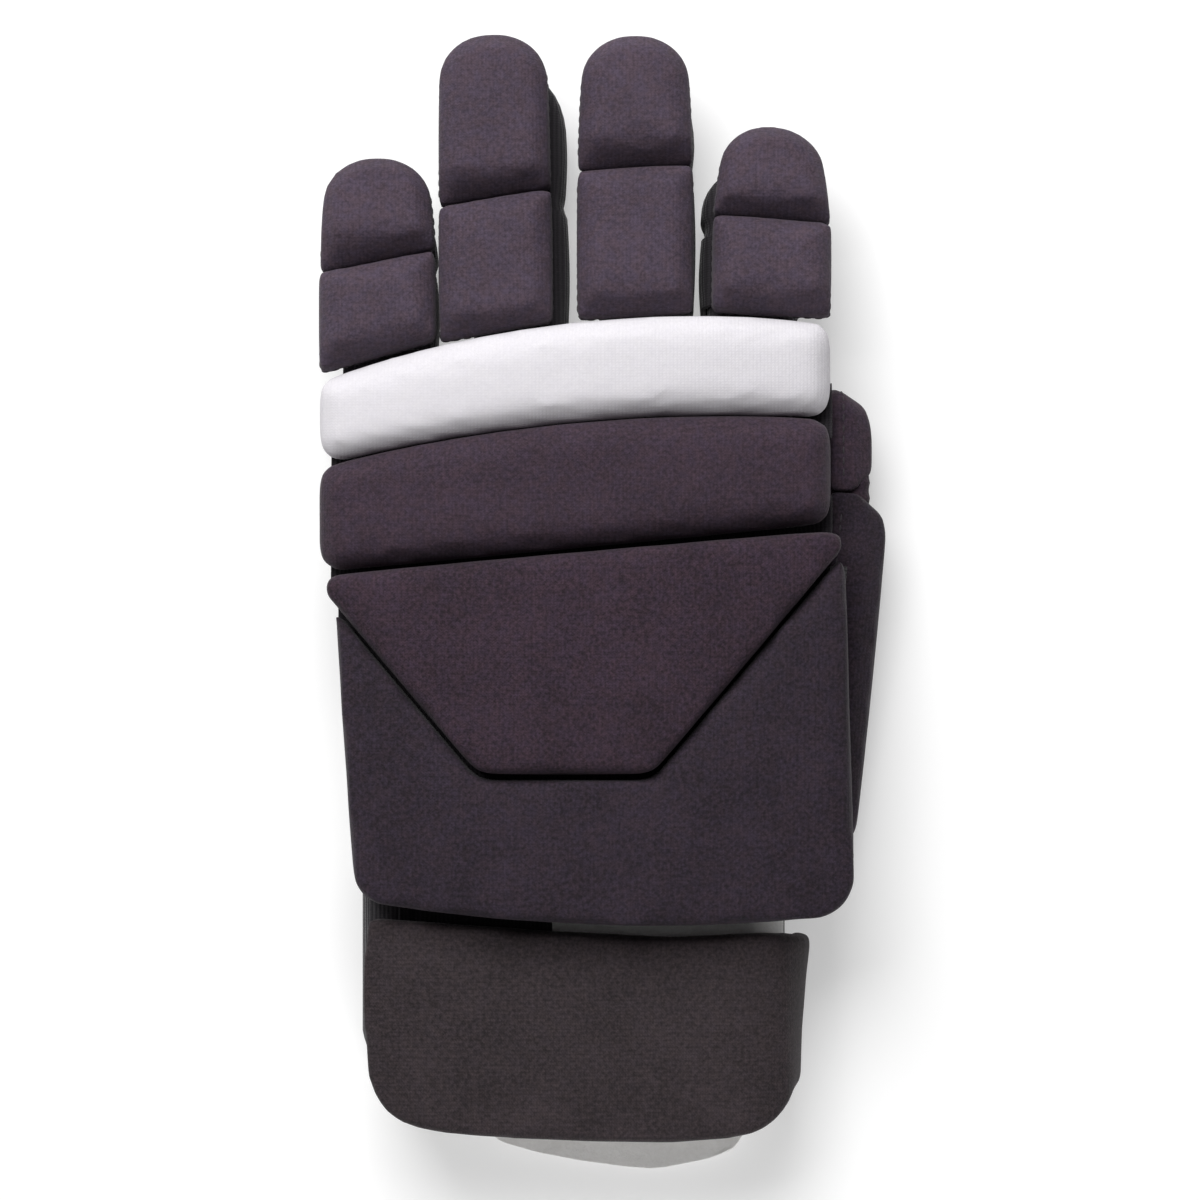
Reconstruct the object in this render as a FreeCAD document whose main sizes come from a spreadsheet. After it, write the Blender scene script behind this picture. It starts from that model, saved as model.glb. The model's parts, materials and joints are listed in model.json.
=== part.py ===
import FreeCAD, Part
import math
import os
import Sketcher
from FreeCAD import Placement, Rotation, Vector

# A padded field hockey glove for the left hand, lying palm down.
# +X runs across the hand to the thumb, +Y runs to the fingertips and +Z is up, out of the
# back of the hand. The origin is on the floor, under the palm strap. Lengths are in
# millimetres and angles in degrees.

document = FreeCAD.newDocument("hockey_glove")

# ---------------------------------------------------------------- driving dimensions

SIZES = [
    # cloth, foam and the gaps between them
    ("cover_thick", 0.8),
    ("lining_thick", 1.0),
    ("stall_wall", 1.2),
    ("seam_gap", 0.8),
    ("seat_gap", 0.3),
    ("pad_edge", 4.0),
    ("bar_round", 5.0),
    # the arch of the back of the hand
    ("arch_radius", 300.0),
    ("hand_left", -66.6),
    # the four fingers: pads, gaps, lengths and sleeves
    ("little_width", 27.6),
    ("ring_width", 26.6),
    ("middle_width", 27.4),
    ("index_width", 29.8),
    ("ring_space", 0.9),
    ("middle_space", 5.8),
    ("index_space", 2.5),
    ("little_end_width", 24.4),
    ("ring_end_width", 25.4),
    ("middle_end_width", 24.8),
    ("index_end_width", 23.6),
    ("little_base", 20.8),
    ("ring_base", 30.4),
    ("middle_base", 33.5),
    ("index_base", 20.2),
    ("little_end", 25.1),
    ("ring_end", 39.1),
    ("middle_end", 31.8),
    ("index_end", 22.4),
    ("little_slant", 10.0),
    ("ring_slant", 8.0),
    ("middle_slant", 3.0),
    ("index_slant", -3.0),
    ("little_fan", 0.6),
    ("ring_fan", 0.8),
    ("middle_fan", 0.0),
    ("index_fan", -1.0),
    ("finger_pad_thick", 12.0),
    ("finger_tip_round", 10.0),
    ("stall_width", 23.4),
    ("stall_height", 18.0),
    ("stall_round", 6.0),
    ("stall_start", 4.5),
    ("stall_tip_inset", 11.0),
    ("little_stall_shift", 2.0),
    ("ring_stall_shift", 5.2),
    ("middle_stall_shift", 2.2),
    ("index_stall_shift", -3.2),
    ("knuckle_height", 16.0),
    # the front edge of the white bar, a bow whose crest is near the middle finger
    ("knuckle_crest_x", 23.5),
    ("knuckle_crest_y", 67.5),
    ("knuckle_bow", 275.0),
    # the groove between the two bars
    ("groove_crest_x", 30.9),
    ("groove_crest_y", 44.2),
    ("groove_bow", 404.0),
    # the rear edge of the dark bar
    ("bar_rear_left_y", 7.4),
    ("bar_rear_right_y", 18.8),
    ("white_bar_bottom", 29.0),
    ("white_bar_thick", 13.0),
    ("dark_bar_bottom", 31.0),
    ("dark_bar_thick", 13.0),
    ("bar_lining_left_inset", 6.6),
    ("bar_lining_right_inset", 18.0),
    # the crest and the back panel that it is let into
    ("back_bottom", 33.0),
    ("panel_thick", 12.0),
    ("crest_thick", 14.5),
    ("crest_rear_gap", 1.2),
    ("crest_left_reach", 1.7),
    ("crest_right_reach", 6.8),
    ("crest_foot_left_inset", 38.1),
    ("crest_foot_right_inset", 42.6),
    ("crest_foot_y", -40.6),
    ("crest_round", 3.0),
    ("panel_left_inset", 4.0),
    ("heel_left_inset", 8.7),
    ("heel_left_overhang", 3.8),
    ("heel_right_reach", 5.8),
    ("heel_right_overhang", 7.2),
    ("panel_right_reach", 3.2),
    ("panel_heel_bow", 474.0),
    ("panel_left_round", 8.0),
    ("panel_right_round", 10.0),
    ("hand_lining_left_inset", 9.6),
    # the thumb, lying on its side with its pad facing +X
    ("thumb_joint_inset", 7.0),
    ("thumb_joint_y", 27.0),
    ("thumb_height", 11.4),
    ("thumb_lean", 5.7),
    ("thumb_width", 22.0),
    ("thumb_end_width", 20.0),
    ("thumb_base", 84.0),
    ("thumb_end", 24.0),
    ("thumb_pad_thick", 11.0),
    ("thumb_end_pad_thick", 9.0),
    ("thumb_stall_width", 18.0),
    ("thumb_stall_depth", 17.0),
    ("thumb_stall_length", 42.0),
    ("thumb_stall_tip_inset", 6.0),
    ("thumb_channel_depth", 5.0),
    ("thumb_tip_round", 7.0),
    # the palm strap and the web beside the thumb
    ("palm_strap_thick", 1.8),
    ("palm_strap_front", 8.0),
    ("palm_strap_rear", -30.0),
    ("palm_strap_round", 7.0),
    ("thumb_web_front", 15.5),
    ("thumb_web_bottom", 4.0),
    # the cuff: its band, its lining and the strap that closes it
    ("band_left_inset", 9.6),
    ("band_right_inset", 10.3),
    ("band_top", 26.0),
    ("band_front", -66.0),
    ("band_rear", -124.0),
    ("band_wall", 2.5),
    ("band_round", 11.0),
    ("band_notch_left_inset", 1.0),
    ("band_notch_right_reach", 0.3),
    ("band_notch_depth", 13.0),
    ("wrist_lining_front_reach", 2.0),
    ("wrist_lining_rear_reach", 3.0),
    ("tongue_left_inset", 28.5),
    ("tongue_right_inset", 5.4),
    ("tongue_length", 8.0),
    ("gusset_depth", 3.0),
    ("strap_thick", 6.0),
    ("strap_front_setback", 11.6),
    ("strap_rear_reach", 3.0),
    ("strap_foot", 8.0),
    ("strap_wrap", 32.0),
    ("patch_thick", 0.75),
    ("patch_left_inset", 2.0),
    ("patch_width", 30.0),
    ("patch_front_inset", 8.4),
    ("patch_length", 31.0),
    ("anchor_thick", 1.5),
]

sheet = document.addObject("Spreadsheet::Sheet", "Dims")
for row, (alias, value) in enumerate(SIZES, start=1):
    sheet.set("A%d" % row, alias)
    sheet.set("B%d" % row, repr(value))
    sheet.setAlias("B%d" % row, alias)
document.recompute()


class Size:
    """A number together with the sheet formula that gives it."""

    def __init__(self, value, formula=None):
        self.value = float(value)
        self.formula = formula or "(%r)" % float(value)

    def joined(self, other, sign, value):
        return Size(value, "(%s %s %s)" % (self.formula, sign, as_size(other).formula))

    def __add__(self, other):
        return self.joined(other, "+", self.value + as_size(other).value)

    def __sub__(self, other):
        return self.joined(other, "-", self.value - as_size(other).value)

    def __mul__(self, other):
        return self.joined(other, "*", self.value * as_size(other).value)

    def __truediv__(self, other):
        return self.joined(other, "/", self.value / as_size(other).value)

    def __radd__(self, other):
        return as_size(other) + self

    def __rsub__(self, other):
        return as_size(other) - self

    def __rmul__(self, other):
        return as_size(other) * self

    def __neg__(self):
        return as_size(0) - self


def as_size(value):
    return value if isinstance(value, Size) else Size(value)


def root(size):
    return Size(math.sqrt(size.value), "sqrt(%s)" % size.formula)


def sine(degrees):
    return Size(math.sin(math.radians(degrees.value)), "sin(%s * 1deg)" % degrees.formula)


def cosine(degrees):
    return Size(math.cos(math.radians(degrees.value)), "cos(%s * 1deg)" % degrees.formula)


def tangent(degrees):
    return Size(math.tan(math.radians(degrees.value)), "tan(%s * 1deg)" % degrees.formula)


def angle_over(length, radius):
    """The angle that a length takes up on a radius."""
    ratio = length / radius
    return Size(math.degrees(ratio.value), "(%s * 180 / pi)" % ratio.formula)


def size(alias):
    return Size(sheet.get(alias), "Dims.%s" % alias)


def bind(thing, name, value):
    """Set one property from the sheet."""
    thing.setExpression(name, as_size(value).formula)


# ---------------------------------------------------------------- sketches and features

def new_body(name, place):
    body = document.addObject("PartDesign::Body", name)
    body.Label = name
    body.Placement = place
    return body


def circle_arc(start, end, radius):
    """The arc from start to end: a positive radius turns left on the way, a negative one right."""
    chord = end - start
    middle = (start + end) * 0.5
    aside = Vector(-chord.y, chord.x, 0).normalize()
    depth = math.sqrt(radius * radius - chord.Length * chord.Length / 4)
    centre = middle + aside * math.copysign(depth, radius)
    angles = [math.atan2(point.y - centre.y, point.x - centre.x) for point in (start, end)]
    if radius < 0:
        angles.reverse()
    return Part.ArcOfCircle(Part.Circle(centre, Vector(0, 0, 1), abs(radius)), *angles)


def outline(body, role, corners, arcs=None, lift=0):
    """A closed sketch on one of the body's own planes, through corners given as sizes.

    arcs gives the radius of each side that is round, by the number of its first corner.
    """
    arcs = arcs or {}
    sketch = body.newObject("Sketcher::SketchObject", body.Name + "_sketch")
    plane = [item for item in body.Origin.OriginFeatures if item.Role == role][0]
    sketch.AttachmentSupport = [(plane, "")]
    sketch.MapMode = "FlatFace"
    bind(sketch, "AttachmentOffset.Base.z", lift)
    corners = [(as_size(x), as_size(y)) for x, y in corners]
    points = [Vector(x.value, y.value, 0) for x, y in corners]
    count = len(points)
    ends = []
    for side in range(count):
        start, end = points[side], points[(side + 1) % count]
        if side in arcs:
            sketch.addGeometry(circle_arc(start, end, arcs[side].value), False)
        else:
            sketch.addGeometry(Part.LineSegment(start, end), False)
        turned = side in arcs and arcs[side].value < 0
        ends.append((2, 1) if turned else (1, 2))
    for side in range(count):
        following = (side + 1) % count
        joint = Sketcher.Constraint("Coincident", side, ends[side][1], following, ends[following][0])
        sketch.addConstraint(joint)
    for side, (x, y) in enumerate(corners):
        for kind, value in (("DistanceX", x), ("DistanceY", y)):
            rule = Sketcher.Constraint(kind, -1, 1, side, ends[side][0], value.value)
            bind(sketch, "Constraints[%d]" % sketch.addConstraint(rule), value)
        if side in arcs:
            radius = arcs[side] if arcs[side].value > 0 else -arcs[side]
            rule = Sketcher.Constraint("Radius", side, radius.value)
            bind(sketch, "Constraints[%d]" % sketch.addConstraint(rule), radius)
    document.recompute()
    return sketch


def pad(body, sketch, length, symmetric=False, backwards=False):
    feature = body.newObject("PartDesign::Pad", body.Name + "_pad")
    feature.Profile = sketch
    feature.SideType = "Symmetric" if symmetric else "One side"
    feature.Reversed = backwards
    bind(feature, "Length", length)
    document.recompute()
    return feature


def pocket(body, sketch, length=None, backwards=False):
    """Cut a sketch out of the body: right through both ways, or to one side by a length."""
    before = body.Shape.Volume
    feature = body.newObject("PartDesign::Pocket", body.Name + "_pocket")
    feature.Profile = sketch
    if length is None:
        feature.SideType = "Symmetric"
        feature.Type = "ThroughAll"
    else:
        feature.Reversed = backwards
        bind(feature, "Length", length)
    document.recompute()
    if not body.Shape.Volume < before - 0.01:
        raise RuntimeError("a pocket of %s cuts nothing" % body.Name)
    return feature


def edges_along(shape, direction, places):
    """The edges that run straight along an axis, nearest to each of the given places."""
    across = [axis for axis in "xyz" if axis != direction]
    found = []
    for place in places:
        wanted = [as_size(value).value for value in place]
        best = None
        for number, edge in enumerate(shape.Edges, start=1):
            if len(edge.Vertexes) != 2:
                continue
            first, last = [vertex.Point for vertex in edge.Vertexes]
            if (last - first).cross(edge.tangentAt(edge.FirstParameter)).Length > 1e-6 * edge.Length:
                continue
            if any(abs(getattr(first, axis) - getattr(last, axis)) > 1e-6 for axis in across):
                continue
            away = math.hypot(*(getattr(first, axis) - value for axis, value in zip(across, wanted)))
            if best is None or away < best[0]:
                best = (away, "Edge%d" % number)
        if best is None:
            raise RuntimeError("no edge along %s near %s" % (direction, wanted))
        if best[1] not in found:
            found.append(best[1])
    return found


def local_shape(body):
    shape = body.Shape.copy()
    shape.Placement = Placement()
    return shape


def round_edges(body, direction, places, radius):
    base = body.Tip
    names = edges_along(local_shape(body), direction, places)
    feature = body.newObject("PartDesign::Fillet", body.Name + "_round")
    feature.Base = (base, names)
    bind(feature, "Radius", radius)
    document.recompute()


def bevel_top(body, width):
    """Bevel every edge of the uppermost face."""
    base = body.Tip
    shape = local_shape(body)
    top = max(shape.Faces, key=lambda face: face.CenterOfMass.z)
    names = ["Edge%d" % number for number, edge in enumerate(shape.Edges, start=1)
             if any(edge.isSame(rim) for rim in top.Edges)]
    feature = body.newObject("PartDesign::Chamfer", body.Name + "_bevel")
    feature.Base = (base, names)
    bind(feature, "Size", width)
    document.recompute()


def cut(name, base, tool):
    feature = document.addObject("Part::Cut", name)
    feature.Label = name
    feature.Base = base
    feature.Tool = tool
    document.recompute()
    return feature


nodes = []


def keep(*pieces):
    nodes.extend(pieces)


# ---------------------------------------------------------------- shared measures

# How far a cutting shape runs past the face that it cuts through.
MARGIN = 1

cover = size("cover_thick")
lining = size("lining_thick")
wall = size("stall_wall")
seam = size("seam_gap")
seat = size("seat_gap")
arch = size("arch_radius")
here = Placement()

FINGERS = ("little", "ring", "middle", "index")
hand_left = size("hand_left")
finger_x = {}
edge_x = hand_left
for finger in FINGERS:
    if finger != "little":
        edge_x = edge_x + size(finger + "_space")
    finger_x[finger] = edge_x + size(finger + "_width") / 2
    edge_x = edge_x + size(finger + "_width")
hand_right = edge_x


def on_bow(x, name):
    """How far forward a bowed seam lies at x."""
    bow = size(name + "_bow")
    away = x - size(name + "_crest_x")
    return size(name + "_crest_y") - bow + root(bow * bow - away * away)


def on_line(x, first, last):
    """How far forward the line through two corners lies at x."""
    return first[1] + (x - first[0]) * (last[1] - first[1]) / (last[0] - first[0])


def frame(left, right, low, high):
    """The four corners of a rectangle."""
    return [(left, low), (right, low), (right, high), (left, high)]


# ---------------------------------------------------------------- padded blocks

def shrunk(corners, inset):
    """Corners moved inwards: each is x, y and its own inward step in x and y."""
    return [(x + step_x * inset, y + step_y * inset) for x, y, step_x, step_y in corners]


def flat_block(name, place, corners, rounds, bottom, top, inset):
    """A flat-topped block with rounded corners, from bottom up to top less the inset."""
    body = new_body(name, place)
    places = shrunk(corners, inset)
    pad(body, outline(body, "XY_Plane", places, lift=bottom), top - bottom - inset)
    for corner, radius in rounds.items():
        round_edges(body, "z", [places[corner]], radius - inset)
    bevel_top(body, size("pad_edge") - inset)
    return body


def arch_height(apex, radius, x):
    """The height at x of an arch that runs front to back, with its crown over the origin."""
    return apex - radius + root(radius * radius - x * x)


def arch_cut(body, apex, radius, above):
    """Trim the body to one side of an arch."""
    half_width = 2 * (hand_right - hand_left) / 3
    spring = arch_height(apex, radius, half_width)
    if above:
        limit = apex + radius
        corners = [(-half_width, spring), (half_width, spring), (half_width, limit), (-half_width, limit)]
        arcs = {0: -radius}
    else:
        limit = apex - radius
        corners = [(-half_width, spring), (-half_width, limit), (half_width, limit), (half_width, spring)]
        arcs = {3: radius}
    pocket(body, outline(body, "XZ_Plane", corners, arcs))


def arched_block(name, corners, arcs, rounds, bottom, thick, inset):
    """A block whose underside and top are both arched over the back of the hand."""
    body = new_body(name, here)
    places = shrunk(corners, inset)
    pad(body, outline(body, "XY_Plane", places, arcs), bottom + thick)
    for corner, radius in rounds.items():
        round_edges(body, "z", [places[corner]], radius - inset)
    arch_cut(body, bottom + thick - inset, arch + thick - inset, True)
    arch_cut(body, bottom, arch, False)
    return body


def covered(name, make):
    """A foam core and the knitted cover drawn over its top and sides."""
    block = make(name + "_block", as_size(0))
    foam = make(name + "_foam", cover)
    keep(cut(name + "_cover", block, foam), foam)


def arched_sheet(name, corners, arcs, bottom):
    """A lining sheet, a clear seat below the underside of an arched pad."""
    body = new_body(name, here)
    pad(body, outline(body, "XY_Plane", corners, arcs), bottom)
    arch_cut(body, bottom - seat, arch - seat, True)
    arch_cut(body, bottom - seat - lining, arch - seat - lining, False)
    keep(body)


# ---------------------------------------------------------------- bars over the knuckles

def bar_corners(rear, front, left, right):
    """The four corners of a bar, whose rear and front edges are given as functions of x."""
    return [(left, rear(left), 1, 1), (right, rear(right), -1, 1),
            (right, front(right), -1, -1), (left, front(left), 1, -1)]


def knuckle_edge(x):
    return on_bow(x, "knuckle")


def groove_front(x):
    return on_bow(x, "groove") + seam / 2


def groove_rear(x):
    return on_bow(x, "groove") - seam / 2


def bar_rear(x):
    return on_line(x, (hand_left, size("bar_rear_left_y")), (hand_right, size("bar_rear_right_y")))


BARS = {
    "white_bar": (groove_front, knuckle_edge, {0: -size("groove_bow"), 2: size("knuckle_bow")}),
    "dark_bar": (bar_rear, groove_rear, {2: size("groove_bow")}),
}
for bar, (rear, front, arcs) in BARS.items():
    bottom = size(bar + "_bottom")
    corners = bar_corners(rear, front, hand_left, hand_right)
    rounds = {number: size("bar_round") for number in range(4)}

    def make_bar(name, inset):
        block = arched_block(name, corners, arcs, rounds, bottom, size(bar + "_thick"), inset)
        bevel_top(block, size("pad_edge"))
        return block

    covered(bar, make_bar)
    lining_span = (hand_left + size("bar_lining_left_inset"), hand_right - size("bar_lining_right_inset"))
    sheet_corners = bar_corners(rear, front, *lining_span)
    arched_sheet(bar + "_lining", shrunk(sheet_corners, as_size(0)), arcs, bottom)

# ---------------------------------------------------------------- crest, panel and lining

# A side that runs at about fifty degrees moves this much sideways for one of clear gap.
DIAGONAL_STEP = 1.4
FOOT_STEP = 0.5
TIP_STEP = 2.2
NOTCH_TIP_STEP = 2.7

crest_left = (hand_left - size("crest_left_reach"), size("bar_rear_left_y") - size("crest_rear_gap"))
crest_right = (hand_right + size("crest_right_reach"), size("bar_rear_right_y") - size("crest_rear_gap"))
foot_left = (hand_left + size("crest_foot_left_inset"), size("crest_foot_y"))
foot_right = (hand_right - size("crest_foot_right_inset"), size("crest_foot_y"))
crest_corners = [crest_left + (TIP_STEP, -1), foot_left + (FOOT_STEP, 1),
                 foot_right + (-FOOT_STEP, 1), crest_right + (-TIP_STEP, -1)]


def make_crest(name, inset):
    rounds = {number: size("crest_round") for number in range(4)}
    return arched_block(name, crest_corners, {}, rounds, size("back_bottom"), size("crest_thick"),
                        inset)


covered("crest", make_crest)

notch_foot_left = (foot_left[0] - FOOT_STEP * seam, foot_left[1] - seam)
notch_foot_right = (foot_right[0] + FOOT_STEP * seam, foot_right[1] - seam)
notch_left = (crest_left[0] - DIAGONAL_STEP * seam, crest_left[1])
notch_right = (crest_right[0] + DIAGONAL_STEP * seam, crest_right[1])
panel_left = hand_left + size("panel_left_inset")
panel_right = hand_right + size("panel_right_reach")
shoulder_left = (panel_left, on_line(panel_left, notch_left, notch_foot_left))
shoulder_right = (panel_right, on_line(panel_right, notch_foot_right, notch_right))
cuff_front = size("band_front")
heel_left = (hand_left + size("heel_left_inset"), cuff_front - size("heel_left_overhang"))
heel_right = (hand_right + size("heel_right_reach"), cuff_front - size("heel_right_overhang"))
panel_corners = [shoulder_left + (1, -NOTCH_TIP_STEP), heel_left + (1, 1), heel_right + (-1, 1),
                 shoulder_right + (-1, -NOTCH_TIP_STEP), notch_foot_right + (FOOT_STEP, -1),
                 notch_foot_left + (-FOOT_STEP, -1)]


def make_panel(name, inset):
    rounds = {1: size("panel_left_round"), 2: size("panel_right_round")}
    return arched_block(name, panel_corners, {1: size("panel_heel_bow")}, rounds,
                        size("back_bottom"), size("panel_thick"), inset)


covered("panel", make_panel)

lining_left = hand_left + size("hand_lining_left_inset")
lining_front = [(x, bar_rear(x) - size("crest_rear_gap")) for x in (hand_right, lining_left)]
lining_rear = cuff_front + seam
arched_sheet("hand_lining", [(lining_left, lining_rear), (hand_right, lining_rear)] + lining_front,
             {}, size("back_bottom"))


def under_lining(x):
    """The height of the hand lining's underside at x."""
    return arch_height(size("back_bottom") - seat - lining, arch - seat - lining, x)


# ---------------------------------------------------------------- sleeves that hold the digits

def tube_section(left, right, bottom, top, low_round, high_round):
    """A rectangle with rounded lower corners, and rounded upper ones where a radius is given."""
    corners = [(left + low_round, bottom), (right - low_round, bottom), (right, bottom + low_round)]
    arcs = {1: low_round}
    if high_round is None:
        corners += [(right, top), (left, top)]
    else:
        corners += [(right, top - high_round), (right - high_round, top),
                    (left + high_round, top), (left, top - high_round)]
        arcs.update({3: high_round, 5: high_round})
    corners.append((left, bottom + low_round))
    arcs[len(corners) - 1] = low_round
    return corners, arcs


def sleeve(name, place, left, right, bottom, top, rear, front, thick, low_round, high_round=None):
    """A tube along Y with a rounded underside, open at both ends."""
    body = new_body(name, place)
    corners, arcs = tube_section(left, right, bottom, top, low_round, high_round)
    pad(body, outline(body, "XZ_Plane", corners, arcs, lift=-rear), front - rear, backwards=True)
    inner_high = None if high_round is None else high_round - thick
    corners, arcs = tube_section(left + thick, right - thick, bottom + thick, top - thick,
                                 low_round - thick, inner_high)
    pocket(body, outline(body, "XZ_Plane", corners, arcs, lift=-rear), front - rear + MARGIN)
    return body


def close_end(body, left, right, bottom, top, front, thick, low_round):
    """Close a sleeve's front end with a wall."""
    corners, arcs = tube_section(left, right, bottom, top, low_round, None)
    pad(body, outline(body, "XZ_Plane", corners, arcs, lift=thick - front), thick, backwards=True)


def mitre(body, seam_y, depth, towards):
    """Slope a sleeve's end on the palm side, so that the next one can fold under it."""
    deep = depth + MARGIN
    corners = [(seam_y, 0), (seam_y, -deep), (seam_y + towards * deep, -deep)]
    if towards < 0:
        corners.reverse()
    pocket(body, outline(body, "YZ_Plane", corners))


def digit_pad(name, place, half_rear, half_front, rear, front, slants, rounds, bottom, thick):
    """A covered pad: its rear and front edges may slant across the digit."""
    rise_rear, rise_front = [tangent(slant) for slant in slants]
    corners = [(-half_rear, rear - half_rear * rise_rear, 1, 1),
               (half_rear, rear + half_rear * rise_rear, -1, 1),
               (half_front, front + half_front * rise_front, -1, -1),
               (-half_front, front - half_front * rise_front, 1, -1)]

    def make_pad(part_name, inset):
        return flat_block(part_name, place, corners, rounds, bottom, bottom + thick, inset)

    covered(name, make_pad)


# ---------------------------------------------------------------- the four fingers

half_stall = size("stall_height") / 2
knuckle_height = size("knuckle_height")
level = as_size(0)

for finger in FINGERS:
    x = finger_x[finger]
    fan = size(finger + "_fan")
    slant = size(finger + "_slant")
    half_pad = size(finger + "_width") / 2
    half_end = size(finger + "_end_width") / 2
    base_length = size(finger + "_base")
    end_length = size(finger + "_end")
    reach = base_length + end_length - size("stall_tip_inset")
    pitch = math.degrees(math.asin((knuckle_height - half_stall).value / reach.value))
    turn = Rotation(Vector(0, 0, 1), fan.value) * Rotation(Vector(1, 0, 0), -pitch)
    knuckle_y = knuckle_edge(x) + seam
    base_place = Placement(Vector(x.value, knuckle_y.value, knuckle_height.value), turn)
    end_place = base_place * Placement(Vector(0, base_length.value, 0), Rotation())
    # the pad's rear edge follows the bow of the white bar, seen from the finger's own direction,
    # and stands one seam from it at the height of the bar's underside
    bow_rise = (knuckle_edge(x + half_pad) - knuckle_edge(x - half_pad)) / (2 * half_pad)
    bow_angle = Size(math.degrees(math.atan(bow_rise.value)), "(atan(%s) / 1deg)" % bow_rise.formula)

    bar_height = arch_height(size("white_bar_bottom"), arch, x) - knuckle_height
    pad_rear = -bar_height * (knuckle_height - half_stall) / reach
    digit_pad(finger + "_base", base_place, half_pad, half_pad, pad_rear, base_length - seam / 2,
              (bow_angle - fan, slant), {}, half_stall, size("finger_pad_thick"))
    digit_pad(finger + "_tip", end_place, half_pad, half_end, seam / 2, end_length,
              (slant, level), {2: size("finger_tip_round"), 3: size("finger_tip_round")},
              half_stall, size("finger_pad_thick"))

    shift = size(finger + "_stall_shift")
    left = shift - size("stall_width") / 2
    right = shift + size("stall_width") / 2
    stall = sleeve(finger + "_base_stall", base_place, left, right, -half_stall, half_stall,
                   size("stall_start"), base_length - seam / 2, wall, size("stall_round"))
    mitre(stall, base_length - seam / 2, half_stall, -1)
    keep(stall)
    end_of_stall = end_length - size("stall_tip_inset")
    stall = sleeve(finger + "_tip_stall", end_place, left, right, -half_stall, half_stall,
                   seam / 2, end_of_stall, wall, size("stall_round"))
    close_end(stall, left, right, -half_stall, half_stall, end_of_stall, wall,
              size("stall_round"))
    mitre(stall, seam / 2, half_stall, 1)
    keep(stall)

# ---------------------------------------------------------------- the thumb

# The thumb's own frame has its x axis down and its z axis out, along +X.
thumb_turn = Rotation(Vector(0, 0, 1), -size("thumb_lean").value) * Rotation(Vector(0, 1, 0), 90)
thumb_joint_x = hand_right - size("thumb_joint_inset")
thumb_joint = Vector(thumb_joint_x.value, size("thumb_joint_y").value, size("thumb_height").value)
thumb_place = Placement(thumb_joint, thumb_turn)
thumb_end_place = Placement(thumb_joint, Rotation(Vector(0, 1, 0), 90))
half_thumb = size("thumb_width") / 2
half_thumb_end = size("thumb_end_width") / 2
half_depth = size("thumb_stall_depth") / 2
half_sleeve = size("thumb_stall_width") / 2
thumb_rear = -size("thumb_base")

digit_pad("thumb_base", thumb_place, half_thumb_end, half_thumb, thumb_rear, -seam / 2, (level, level),
          {0: size("thumb_tip_round"), 1: size("thumb_tip_round")}, half_depth, size("thumb_pad_thick"))
digit_pad("thumb_tip", thumb_end_place, half_thumb, half_thumb_end, seam / 2, size("thumb_end"),
          (level, level), {2: size("thumb_tip_round"), 3: size("thumb_tip_round")},
          half_depth, size("thumb_end_pad_thick"))

stall = sleeve("thumb_base_stall", thumb_place, -half_sleeve, half_sleeve, -half_depth, half_depth,
               thumb_rear + seam, -seam / 2, wall, size("stall_round"))
mitre(stall, -seam / 2, half_depth, -1)
# behind the sleeve the ball of the thumb lies in a channel that is open to the palm
channel_floor = half_depth - size("thumb_channel_depth")
sleeve_mouth = -size("thumb_stall_length")
open_side = frame(thumb_rear - MARGIN, sleeve_mouth, -half_depth - MARGIN, channel_floor)
pocket(stall, outline(stall, "YZ_Plane", open_side))
keep(stall)
thumb_stall_end = size("thumb_end") - size("thumb_stall_tip_inset")
stall = sleeve("thumb_tip_stall", thumb_end_place, -half_sleeve, half_sleeve, -half_depth, half_depth,
               seam / 2, thumb_stall_end, wall, size("stall_round"))
close_end(stall, -half_sleeve, half_sleeve, -half_depth, half_depth, thumb_stall_end, wall,
          size("stall_round"))
mitre(stall, seam / 2, half_depth, 1)
keep(stall)


def thumb_inner_x(y):
    """Where the thumb sleeve's palm side lies at y."""
    lean = size("thumb_lean")
    return thumb_joint_x - (size("thumb_joint_y") - y) * tangent(lean) - half_depth / cosine(lean)


# ---------------------------------------------------------------- palm strap and thumb web

strap_thick = size("palm_strap_thick")
sleeve_mouth_y = size("thumb_joint_y") - size("thumb_stall_length")
strap_right = thumb_inner_x(sleeve_mouth_y) - seam
left_top = under_lining(lining_left) - seat
right_top = under_lining(strap_right) - seat
strap_profile = [(lining_left, 0), (strap_right, 0), (strap_right, right_top),
                 (strap_right - strap_thick, right_top), (strap_right - strap_thick, strap_thick),
                 (lining_left + strap_thick, strap_thick), (lining_left + strap_thick, left_top),
                 (lining_left, left_top)]
palm_strap = new_body("palm_strap", here)
pad(palm_strap, outline(palm_strap, "XZ_Plane", strap_profile, lift=-size("palm_strap_rear")),
    size("palm_strap_front") - size("palm_strap_rear"), backwards=True)
round_edges(palm_strap, "y", strap_profile[4:6], size("palm_strap_round") - strap_thick)
round_edges(palm_strap, "y", strap_profile[:2], size("palm_strap_round"))
keep(palm_strap)

web_rear = size("palm_strap_front") + seat
web_front = size("thumb_web_front")
web_corners = [(thumb_inner_x(web_rear) - seam - strap_thick, web_rear),
               (thumb_inner_x(web_rear) - seam, web_rear),
               (thumb_inner_x(web_front) - seam, web_front),
               (thumb_inner_x(web_front) - seam - strap_thick, web_front)]
thumb_web = new_body("thumb_web", here)
web_sketch = outline(thumb_web, "XY_Plane", web_corners, lift=size("thumb_web_bottom"))
pad(thumb_web, web_sketch, under_lining(thumb_inner_x(web_front) - seam) - seat - size("thumb_web_bottom"))
keep(thumb_web)

# ---------------------------------------------------------------- the cuff

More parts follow.
